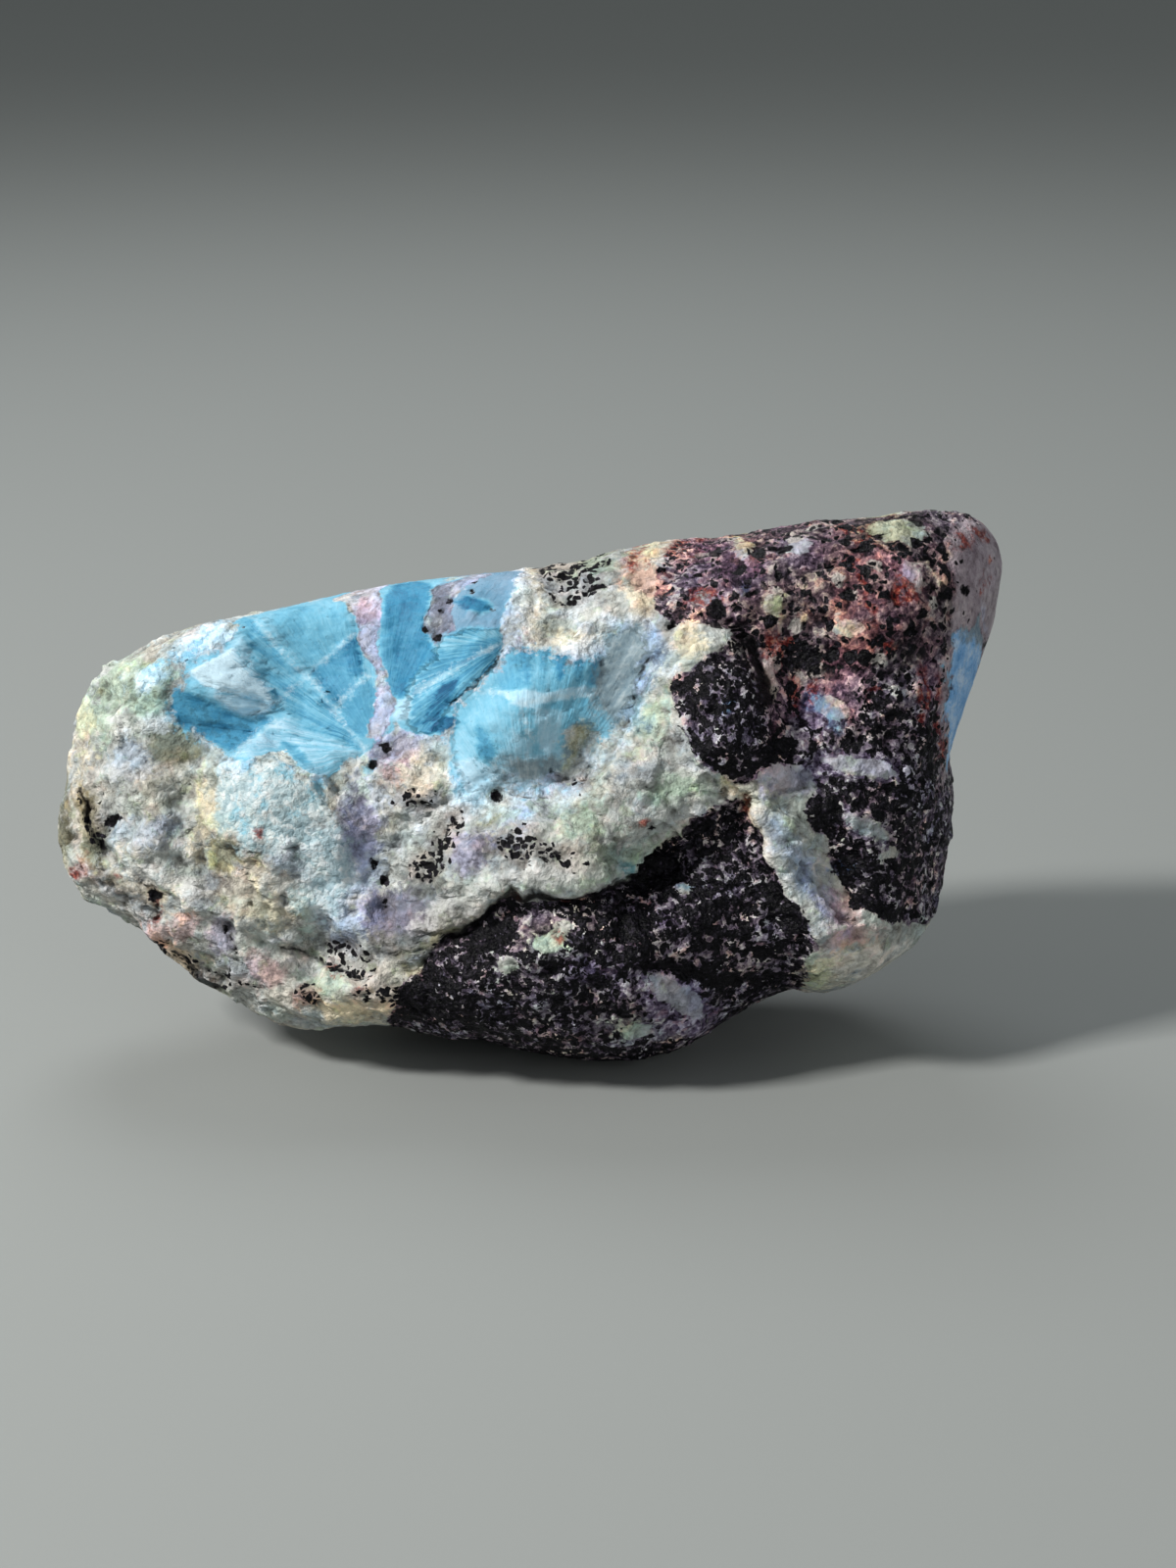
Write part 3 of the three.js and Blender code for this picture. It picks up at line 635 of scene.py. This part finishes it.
# The broken surface
# How the stone broke: ledges and cracks where one rock parts from the next, flat blades in the blue, crags
# and chips in the pale rock, and grains in the basalt. The worn back is lower all over.
LEDGES = [
    # the line, its height in millimetres, and which side of it is high
    ([(422, 985), (440, 965), (460, 948), (480, 936), (500, 918), (540, 908), (580, 912), (620, 905),
      (650, 885), (705, 838), (765, 812)], 1.7, "left"),
    ([(765, 812), (780, 865), (812, 930), (832, 990)], 1.3, "left"),
    ([(205, 785), (232, 776), (264, 768), (290, 766), (318, 784), (340, 802)], 1.4, "right"),
    ([(516, 660), (500, 682), (480, 704), (460, 724)], 1.0, "left"),
    ([(696, 628), (664, 691), (644, 739), (620, 783), (570, 800)], 1.1, "left"),
    ([(740, 640), (760, 655), (770, 672), (777, 695), (781, 722), (786, 770)], 1.5, "right"),
    ([(684, 703), (700, 755), (736, 798)], 0.8, "left"),
    ([(190, 675), (205, 705), (240, 728), (279, 722)], 0.8, "left"),
    ([(144, 891), (200, 927), (264, 955), (336, 967)], 0.9, "left"),
    ([(75, 790), (88, 830), (108, 866), (140, 900)], 0.9, "right"),
    ([(832, 955), (888, 943), (944, 947)], 0.8, "left"),
    ([(430, 840), (470, 815), (505, 790)], 0.8, "right"),
    ([(505, 875), (560, 868), (600, 880)], 0.7, "right"),
    ([(320, 800), (352, 850), (350, 930)], 0.7, "right"),
    ([(556, 765), (563, 785), (575, 796), (590, 794), (602, 785)], 0.6, "left"),
    ([(205, 780), (208, 820), (222, 858), (262, 880), (320, 900)], 0.7, "left"),
]
CRACKS = [
    # the line, its half width and its depth in millimetres
    ([(452, 962), (480, 940), (497, 926), (515, 915), (540, 912), (580, 918), (612, 911), (640, 899)],
     0.3, 1.0),
    ([(749, 640), (761, 655), (769, 672), (776, 690), (780, 715)], 0.7, 1.4),
    ([(515, 661), (500, 681), (480, 703), (460, 722)], 0.16, 0.5),
    ([(562, 786), (570, 793), (584, 795), (596, 790), (603, 782)], 0.12, 0.5),
    ([(611, 668), (613, 690), (611, 712)], 0.1, 0.3),
    ([(84, 805), (90, 830), (100, 855), (112, 872)], 0.14, 0.8),
    ([(234, 942), (238, 960), (242, 976)], 0.15, 0.5),
    ([(285, 964), (305, 972), (332, 984), (366, 998)], 0.18, 0.5),
    ([(148, 904), (164, 914), (160, 930)], 0.25, 0.5),
    ([(262, 1008), (280, 1006), (292, 1004)], 0.12, 0.3),
    ([(160, 957), (175, 972), (200, 988), (228, 1003)], 0.3, 0.5),
    ([(540, 945), (560, 955), (585, 950)], 0.15, 0.4),
    ([(650, 988), (690, 985), (720, 1000), (770, 1003)], 0.5, 0.7),
    ([(665, 668), (650, 700), (641, 740)], 0.2, 0.4),
    ([(500, 800), (530, 812), (560, 815)], 0.1, 0.3),
    ([(620, 902), (650, 890), (676, 872)], 0.25, 0.5),
]


def ledge(line, height, high):
    """Sharpens a ledge that the solid has in a soft form."""
    distance, side = along(line)
    signed = distance * side * (1 if high == "right" else -1)
    sharp = smooth(signed, -0.25, 0.2) - smooth(signed, -1.9, 1.9)
    return height * sharp


def raised(outline, height):
    """A patch that stands up, or lies deeper below 0."""
    return height * smooth(inside(outline), -0.3, 0.3)


steps = sum(ledge(*mark) for mark in LEDGES)
crack = np.full(count, -4.0)
for line, half_width, depth in CRACKS:
    distance = along(line)[0]
    crack = np.maximum(crack, half_width - distance)
    steps -= depth * np.exp(-((distance / (half_width + 0.15)) ** 2))
on_face("crack", crack)

in_blue = smooth(fields["blue"], -0.2, 0.2)
near_blue = smooth(np.maximum(fields["blue"], fields["veil"]), -2.0, 0.2)
pale_rock = (1 - 0.8 * near_blue) * (1 - in_basalt)
steps += raised(WHITE_LEAF, 0.3) + raised(LOW_BLADE, 0.4)
steps += raised(MOTTLED_TEAL, -0.6) + raised(DEEP_BAND, -0.4) + raised(LILAC_PATCH, -0.5)
steps -= 0.6 * smooth(blots, -0.2, 0.4)
# A round knob stands up at the foot of the second fan.
FAN_KNOB = (587, 772)
KNOB_WIDTH, KNOB_HEIGHT = 27, 30
from_knob = ((straight_x - FAN_KNOB[0]) / KNOB_WIDTH) ** 2
from_knob += ((straight_y - FAN_KNOB[1]) / KNOB_HEIGHT) ** 2
steps += 1.7 * np.exp(-from_knob)

# The blades of the first fan, from the right round to the left: turn in degrees and height in millimetres.
BLADES = [
    (20, 0), (48, 0.35), (49, -0.1), (62, 0.4), (63, -0.15), (88, 0.45), (90, 0), (101, 0.1), (102, 0.5),
    (117, 0.1), (130, -0.35), (131, 0.4), (140, -0.4), (141, 0.3), (157, 0.6), (158, -0.1), (171, 0.2),
    (172, -0.5), (180, -0.3), (181, 0.4), (196, 0.1),
]
turn = np.degrees(main_across / FIBRE_RADIUS)
blades = np.interp(turn, *zip(*BLADES)) * smooth(main_along, 1, 9) * smooth(fan, 0, 1)
# The blades of the second fan are alike, one to every 5 degrees.
second_turn = np.degrees(second_across / FIBRE_RADIUS)
second_blades = 0.16 * np.abs((second_turn / 5 % 1) * 2 - 1) * smooth(second_along, 1, 7)
blades += second_blades * smooth(second_fan, 0, 1)

hackly = 1 - 2 * np.abs(cloudy(5.5, 5, 1.3))
gritty = cloudy(1.6, 3, 5.5)
clumpy = cloudy(2.8, 3, 8.8)
crags = chipped(8.0, 1.7)
big_chips = chipped(4.2, 3.3)
small_chips = chipped(2.2, 6.1)
icy = smooth(fields["ice"], -1, 1.5)
relief = pale_rock * (0.2 * hackly + 0.12 * gritty + 0.55 * crags + 0.5 * big_chips + 0.28 * small_chips)
relief *= 1 - 0.5 * icy
relief += in_basalt * (0.24 * clumpy + 0.3 * gritty + 0.3 * crags + 0.3 * big_chips + 0.3 * small_chips)
relief += in_blue * (0.1 * clumpy + 0.06 * gritty + 0.12 * small_chips)
relief *= 0.35 + 0.65 * smooth(facing, -0.05, 0.5)
behind = 0.3 * hackly + 0.2 * clumpy + 0.15 * gritty + 0.3 * crags + 0.4 * big_chips + 0.25 * small_chips
SMOOTH_CORNER = [(836, 960), (880, 950), (945, 948), (960, 960), (900, 1010), (835, 1012)]
smooth_corner = 0.7 * smooth(inside(SMOOTH_CORNER), -1, 1)
smooth_side = np.maximum(smooth(side_facet, -1, 1), smooth_corner) * front
to_normal = (relief * (1 - 0.8 * smooth_side)) * front + behind * (1 - front)
clear_of_foot = smooth(place[:, 2], 0.1, 2.5)
eye = np.array(from_face(0, SIGHT_HEIGHT, SIGHT_DISTANCE)) / MM
to_eye = eye - place
to_eye /= np.linalg.norm(to_eye, axis=1)[:, None]
inward = smooth(facing, 0.25, 0.6)
along_sight = (steps + blades) * front * inward
moved = place + to_eye * (along_sight * clear_of_foot)[:, None]
moved += lift * (to_normal * clear_of_foot)[:, None]
moved[:, 2] = np.maximum(moved[:, 2], 0)
stone.data.vertices.foreach_set("co", (moved * MM).ravel())
stone.data.update()
# How far each point stands above or below the relief around it. The material turns this into painted shade
# in the hollows and painted highlight on the ridges.
whole_relief = along_sight + to_normal
near_relief = whole_relief - evened(whole_relief, 10)
wide_relief = whole_relief - evened(whole_relief, 50)
fields["hollow"] = 0.6 * near_relief + 0.5 * wide_relief

for name, value in fields.items():
    layer = stone.data.attributes.new(name, "FLOAT", "POINT")
    layer.data.foreach_set("value", value.astype(np.float32))
for layer in [layer for layer in stone.data.attributes if layer.name.startswith("custom_normal")]:
    stone.data.attributes.remove(layer)
stone.data.shade_smooth()


# The stone's finish
# Bare rock with nothing laid on it: waxy fibrous blue, dull sugary pale rock, and basalt with small glinting
# grains, all in one material. Sums on its wires add Math nodes, and any other node is added by name.
finish = bpy.data.materials.new("larimar in basalt")
finish.use_nodes = True
tree = finish.node_tree
face = tree.nodes["Principled BSDF"]


class Wire:
    """One output of a node."""

    def __init__(self, socket):
        self.socket = socket

    def __add__(self, other):
        return maths("ADD", self, other)

    def __radd__(self, other):
        return maths("ADD", other, self)

    def __sub__(self, other):
        return maths("SUBTRACT", self, other)

    def __rsub__(self, other):
        return maths("SUBTRACT", other, self)

    def __mul__(self, other):
        return maths("MULTIPLY", self, other)

    def __rmul__(self, other):
        return maths("MULTIPLY", other, self)

    def __abs__(self):
        return maths("ABSOLUTE", self)

    def above(self, edge, soft):
        """0 below the edge and 1 above it, turning smoothly over twice the softness."""
        values = {"Value": self, "From Min": edge - soft, "From Max": edge + soft}
        return add("ShaderNodeMapRange", {"interpolation_type": "SMOOTHSTEP"}, values)


def add(kind, settings=None, values=None, output=0):
    """Adds a node, sets it up, and gives its sockets values or wires."""
    node = tree.nodes.new(kind)
    for name, value in (settings or {}).items():
        if name == "stops":
            row = node.color_ramp.elements
            while len(row) < len(value):
                row.new(1)
            for element, (stop, shade) in zip(row, value):
                element.position = stop
                element.color = shade
        else:
            setattr(node, name, value)
    for name, value in (values or {}).items():
        if isinstance(value, Wire):
            tree.links.new(value.socket, node.inputs[name])
        else:
            node.inputs[name].default_value = value
    return Wire(node.outputs[output])


def maths(operation, *values):
    """Works out one sum, on wires or numbers."""
    return add("ShaderNodeMath", {"operation": operation}, dict(enumerate(values)))


place_wire = add("ShaderNodeTexCoord", output="Object")
at = add("ShaderNodeVectorMath", {"operation": "SCALE"}, {0: place_wire, "Scale": 1 / MM})


def field(name):
    """One of the fields kept for each point of the stone."""
    return add("ShaderNodeAttribute", {"attribute_name": name}, output="Fac")


def blend(share, low, high):
    """One colour laid over another by a share."""
    return add("ShaderNodeMix", {"data_type": "RGBA"}, {0: share, 6: low, 7: high}, 2)


def ramp(wire, *stops):
    """A colour picked along a row of stops, each a place and a colour from its 0 to 255 values."""
    stops = [(stop, colour(*seen)) for stop, *seen in stops]
    return add("ShaderNodeValToRGB", {"stops": stops}, {"Fac": wire})


def grainy(size, detail=3, rough=0.55, stray=0.0, where=None):
    """Cloudy noise from 0 to 1, its largest waves the given millimetres."""
    values = {"Vector": where or at, "Scale": 1 / size, "Detail": detail, "Roughness": rough}
    return add("ShaderNodeTexNoise", {}, {**values, "Distortion": stray})


def three_clouds(size, detail):
    """Three unlike cloudy noises of one size."""
    values = {"Vector": at, "Scale": 1 / size, "Detail": detail, "Roughness": 0.6}
    clouds = add("ShaderNodeTexNoise", {}, values, "Color")
    return [add("ShaderNodeSeparateColor", {}, {"Color": clouds}, part) for part in range(3)]


def toned(share, under, wanted, middle):
    """Brings a colour round to the wanted one by a share, and keeps its own light and dark."""
    factor = [w / m for w, m in zip(colour(*wanted), colour(*middle))]
    turned = add("ShaderNodeVectorMath", {"operation": "MULTIPLY"}, {0: under, 1: factor[:3]})
    return blend(share, under, turned)


# The same place, pushed about by up to a millimetre or so, which makes the grains' outlines uneven.
drift = add("ShaderNodeTexNoise", {}, {"Vector": at, "Scale": 1 / 1.4, "Detail": 3}, "Color")
pushed = {0: drift, 1: (1.5, 1.5, 1.5), 2: at}
warped = add("ShaderNodeVectorMath", {"operation": "MULTIPLY_ADD"}, pushed)


def grains(size):
    """Grains of about the given millimetres: how far each point is from its grain's middle, and the kind."""
    away = add("ShaderNodeTexVoronoi", {}, {"Vector": warped, "Scale": 1 / size}, "Distance")
    kind = add("ShaderNodeSeparateColor", {}, {"Color": Wire(away.socket.node.outputs["Color"])})
    return away, kind


fine_wobble = grainy(0.9, 3) - 0.5
wobble = grainy(3.4, 5, 0.65) - 0.5


def patch(name, soft, stray):
    """A field turned into the share of a patch, with a ragged edge."""
    return (field(name) + wobble * stray + fine_wobble * (stray * 0.4)).above(0, soft)


# Pale rock: sugary, with painted shade in its hollows and painted highlight on its edges.
hollow = field("hollow")
mottle = grainy(2.6, 5, 0.62, 0.4)
sugar = grainy(0.6, 3, 0.6)
lumps = grainy(7.5, 3, 0.5)
crease = (abs(grainy(3.2, 4, 0.6, 0.6) - 0.5) + sugar * 0.03).above(0.026, 0.012)
flake, flake_kind = grains(0.9)
lump, lump_kind = grains(2.4)
# The relief term paints shade into the hollows and highlight onto the ridges.
light = mottle * 0.85 + sugar * 0.45 + lumps * 0.4 + hollow * 0.2 - 0.33
light = light + flake_kind * 0.16 - flake * 0.16 + lump_kind * 0.08 + grainy(13, 2) * 0.24 - 0.155
light = light * 0.78 + 0.125
PALE_MIDDLE = (158, 160, 152)
pale = ramp(
    light,
    (0.2, 70, 69, 66), (0.34, 128, 130, 126), (0.46, 160, 164, 160), (0.56, 182, 187, 183),
    (0.68, 208, 212, 208), (0.82, 234, 236, 233),
)

# Basalt ground: lilac-grey crystals of a few kinds, with painted shade in its hollows and painted highlight
# on its ridges.
warm, green, cold = three_clouds(2.6, 4)
crystals = grainy(0.7, 3, 0.6)
GROUND_MIDDLE = (108, 102, 110)
ground = ramp(
    crystals * 0.9 + mottle * 0.6 + flake_kind * 0.3 + lump_kind * 0.1 - flake * 0.1 + hollow * 0.2 - 0.37,
    (0.25, 22, 16, 26), (0.38, 66, 57, 72), (0.5, 107, 96, 112), (0.62, 148, 139, 150),
    (0.75, 206, 202, 204),
)
in_basalt_wire = (field("basalt") + fine_wobble * 1.4 + wobble * 0.8).above(0, 0.12)
rock = blend(in_basalt_wire, pale, ground)

# Soft changes of tint that run through both.
coarse = field("coarse")
wide_warm, wide_green, wide_cold = three_clouds(7, 4)
for share, wanted, middle in [
    (wide_warm.above(0.54, 0.07) * 0.55, (174, 164, 146), PALE_MIDDLE),
    (wide_cold.above(0.55, 0.07) * 0.5, (152, 160, 166), PALE_MIDDLE),
    (wide_green.above(0.56, 0.07) * 0.4, (150, 162, 146), PALE_MIDDLE),
    (warm.above(0.6, 0.04) * (in_basalt_wire * 0.35 + 0.2), (116, 90, 92), GROUND_MIDDLE),
    (green.above(0.62, 0.04) * 0.35, (112, 116, 104), GROUND_MIDDLE),
    (cold.above(0.6, 0.04) * 0.35, (100, 104, 118), GROUND_MIDDLE),
    ((lumps + wobble * 0.4).above(0.62, 0.06) * in_basalt_wire * 0.7, (154, 146, 148), GROUND_MIDDLE),
    (coarse * in_basalt_wire * 0.7, (92, 80, 81), GROUND_MIDDLE),
    (wide_cold.above(0.52, 0.08) * coarse * in_basalt_wire * 0.45, (98, 68, 74), GROUND_MIDDLE),
]:
    rock = toned(share, rock, wanted, middle)
for name, wanted, most, soft, stray in [
    ("cream", (188, 177, 152), 0.9, 0.9, 8.0),
    ("bluish", (150, 161, 169), 0.8, 0.9, 8.0),
    ("lilac", (150, 146, 158), 0.8, 0.8, 6.0),
    ("green", (148, 164, 143), 0.8, 0.9, 8.0),
    ("olive", (144, 145, 116), 0.85, 0.7, 5.0),
    ("pink", (166, 144, 140), 0.8, 0.7, 6.0),
    ("white", (180, 180, 174), 0.9, 0.5, 5.0),
    # shade: partly painted shade, partly darker grey rock.
    ("shade", (100, 102, 100), 0.85, 0.7, 7.0),
    ("teal", (96, 130, 142), 0.9, 0.4, 3.0),
]:
    rock = toned(patch(name, soft, stray) * most, rock, wanted, PALE_MIDDLE)
soft_white = ramp(
    mottle * 0.7 + sugar * 0.3,
    (0.3, 150, 152, 148), (0.5, 208, 210, 205), (0.66, 236, 237, 233),
)
rock = blend(patch("white", 0.5, 6.0) * (1 - in_basalt_wire) * 0.6, rock, soft_white)
soft_ice = ramp(
    mottle * 0.5 + sugar * 0.3 + flake_kind * 0.2,
    (0.3, 132, 164, 176), (0.46, 184, 212, 220), (0.6, 232, 241, 242),
)
icy = patch("ice", 0.9, 7.0) * (1 - in_basalt_wire)
rock = blend(icy * 0.75, rock, soft_ice)
cyan = patch("cyan", 0.5, 4.0) * grainy(1.1, 4, 0.65).above(0.48, 0.08) * (1 - in_basalt_wire)
rock = blend(cyan * 0.7, rock, colour(126, 192, 214))
# The smooth lilac side facet, made lighter than its own colour as painted light, to make up for the shade it
# lies in.
soft_side = ramp(
    mottle * 0.8 + sugar * 0.2,
    (0.3, 120, 104, 112), (0.5, 176, 162, 170), (0.68, 208, 197, 202),
)
rock = blend(patch("side_facet", 0.4, 1.5) * 0.85, rock, soft_side)
haze = (field("blue") + 0.9 + wobble * 8).above(0, 1.0) * (1 - in_basalt_wire) * 0.5
rock = toned(haze, rock, (160, 180, 190), PALE_MIDDLE)
veil = patch("veil", 0.3, 1.5)
rock = toned(veil * 0.8, rock, (152, 150, 157), PALE_MIDDLE)
veil_edge = (0.2 - abs(field("veil") + fine_wobble * 1.2)).above(0, 0.25)
rock = toned(veil_edge * 0.55, rock, (104, 88, 92), PALE_MIDDLE)

# Black grains, small in the clast and larger at the top right, and rust between them.
small, small_kind = grains(0.85)
big, big_kind = grains(2.3)
black_share = field("black")
grain_share = field("grains")
network = grainy(1.2, 3, 0.62, 0.3) + (black_share - 0.5) * 0.36 + (grainy(6, 2) - 0.5) * 0.22 - coarse * 0.1
network = network.above(0.5, 0.012) * black_share.above(0.05, 0.04)
small_grains = (grain_share - coarse * 0.2 - small_kind).above(0, 0.03)
small_grains = small_grains * (grain_share * 0.3 + 0.36 - small).above(0, 0.05)
big_grains = (grain_share - big_kind + 0.05).above(0, 0.03)
big_grains = big_grains * (grain_share * 0.2 + 0.34 - big).above(0, 0.03)
black = 1 - (1 - network) * (1 - small_grains) * (1 - big_grains * coarse)
rust = (field("rust") + wobble * 3.5).above(0, 0.4) * grainy(1.6, 4, 0.65).above(0.47, 0.06)
rust_colour = ramp(
    crystals,
    (0.3, 50, 12, 14), (0.46, 108, 30, 26), (0.56, 152, 60, 44), (0.7, 206, 146, 120),
)
between_grains = grain_share.above(0.12, 0.3) * (1 - in_basalt_wire)
rock = toned(between_grains * 0.5, rock, (132, 122, 114), PALE_MIDDLE)
rock = blend(rust * 0.85, rock, rust_colour)
blots_wire = (field("blots") + fine_wobble * 1.1 + wobble * 1.2).above(0.05, 0.1)
dark_share = 1 - (1 - black) * (1 - blots_wire)
white_crystal = lump_kind.above(0.8, 0.02) * (0.4 - lump).above(0, 0.06) * coarse * in_basalt_wire
rock = blend(white_crystal * 0.6, rock, colour(204, 200, 192))
dark_colour = ramp(sugar, (0.4, 2, 2, 4), (0.58, 14, 12, 18), (0.72, 60, 55, 66))
rock = blend(dark_share, rock, dark_colour)

# Blue: fibres run along each blade, from deep teal to white.
along_run = field("along_fibres") * 0.08
run = add("ShaderNodeCombineXYZ", {}, {0: field("across_fibres"), 1: along_run, 2: 0.0})
streaks = grainy(0.9, 4, 0.7, where=run)
threads = grainy(0.3, 3, 0.6, where=run)
streaky = patch("streaky", 0.4, 0.6)
bloom = grainy(4, 4)
along_grain = ((streaks - 0.5) * 0.9 + (threads - 0.5) * 0.4) * (streaky * 0.75 + 0.35)
# A little painted shade in the hollows and painted highlight on the ridges goes into the tone.
tone = field("pale") + along_grain + (bloom - 0.5) * 0.35 + (sugar - 0.5) * 0.22 + hollow * 0.06
blue_colour = ramp(
    tone,
    (0.0, 28, 84, 122), (0.2, 60, 132, 168), (0.38, 90, 159, 190), (0.5, 112, 177, 203),
    (0.66, 142, 194, 216), (0.82, 172, 210, 229), (1.0, 200, 227, 240),
)
# The blue on the side facet, made lighter as painted light, to make up for the shade that side lies in.
cornflower = ramp(
    bloom * 0.7 + sugar * 0.3,
    (0.36, 100, 158, 218), (0.5, 152, 198, 246), (0.62, 206, 228, 253),
)
blue_colour = blend(patch("side_blue", 0.3, 0.5) * 0.9, blue_colour, cornflower)
slate = patch("slate", 0.8, 5.0)
slate_colour = ramp(
    streaks * 0.4 + mottle * 0.4 + sugar * 0.2,
    (0.32, 78, 92, 102), (0.5, 130, 141, 146), (0.66, 182, 187, 186),
)
blue_colour = blend(slate * 0.85, blue_colour, slate_colour)
smoky = patch("smoky", 0.4, 2.0)
blue_colour = toned(smoky * 0.8, blue_colour, (122, 150, 176), (140, 194, 216))
mottled = patch("mottled", 0.5, 2.0) * (grainy(1.0, 4, 0.7) + hollow * 0.1).above(0.53, 0.06)
blue_colour = blend(mottled * 0.5, blue_colour, colour(52, 100, 120))
specks = (grainy(0.7, 3, 0.7) - field("pale") * 0.1).above(0.6, 0.03)
blue_colour = blend(specks * 0.35, blue_colour, colour(40, 92, 116))
webs = (field("web") + fine_wobble * 0.6 + wobble * 0.4).above(-0.06, 0.26)
webs = webs * (grainy(2.5, 2).above(0.46, 0.14) * 0.8 + 0.2)
frost = (field("web") + wobble * 3 + 0.3).above(0, 0.8) * grainy(0.6, 4, 0.75).above(0.56, 0.05)
blue_colour = blend(webs * 0.45, blue_colour, colour(196, 218, 226))
blue_colour = blend(frost * 0.35, blue_colour, colour(216, 230, 236))
in_blue_wire = (field("blue") + fine_wobble * 1.4 + wobble * 1.6).above(0, 0.22) * (1 - blots_wire)
rock = blend(in_blue_wire, rock, blue_colour)

# Painted shade: fine creases, the cracks and the deep hollows are darkened where shade falls in them.
rock = toned((1 - crease) * (1 - in_blue_wire) * (1 - icy) * 0.4, rock, (92, 88, 82), PALE_MIDDLE)
# Painted shadow, nearly black, in the cracks, which are also cut into the mesh as grooves.
cracks = (field("crack") + fine_wobble * 0.5).above(0, 0.14)
rock = blend(cracks * 0.85, rock, colour(14, 12, 16))
# Painted shade in the deep hollows of the relief.
deep = (0 - hollow).above(0.5, 0.4) * (1 - in_blue_wire * 0.7)
rock = toned(deep * 0.5, rock, (84, 82, 80), PALE_MIDDLE)
tree.links.new(rock.socket, face.inputs["Base Color"])

dull = 0.66 + (sugar - 0.5) * 0.3 - in_blue_wire * 0.16 - dark_share * in_basalt_wire * 0.25
tree.links.new(dull.socket, face.inputs["Roughness"])
face.inputs["Specular IOR Level"].default_value = 0.13

# The finest roughness, in millimetres: too fine for the mesh.
rock_height = (sugar - 0.5) * 0.25 + (mottle - 0.5) * 0.6 - flake * 0.18 - lump * 0.18 + 0.17
basalt_height = (crystals - 0.5) * 0.5
blue_height = (threads - 0.5) * 0.12 + (streaks - 0.5) * 0.22 * (streaky * 0.7 + 0.3) + (sugar - 0.5) * 0.1
height = rock_height * (1 - in_blue_wire) + basalt_height * in_basalt_wire + blue_height * in_blue_wire
bump = add("ShaderNodeBump", {}, {"Height": height, "Distance": MM, "Strength": 1.0})
tree.links.new(bump.socket, face.inputs["Normal"])
stone.data.materials.append(finish)

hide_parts("larimar_stone")
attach(stone, "root")
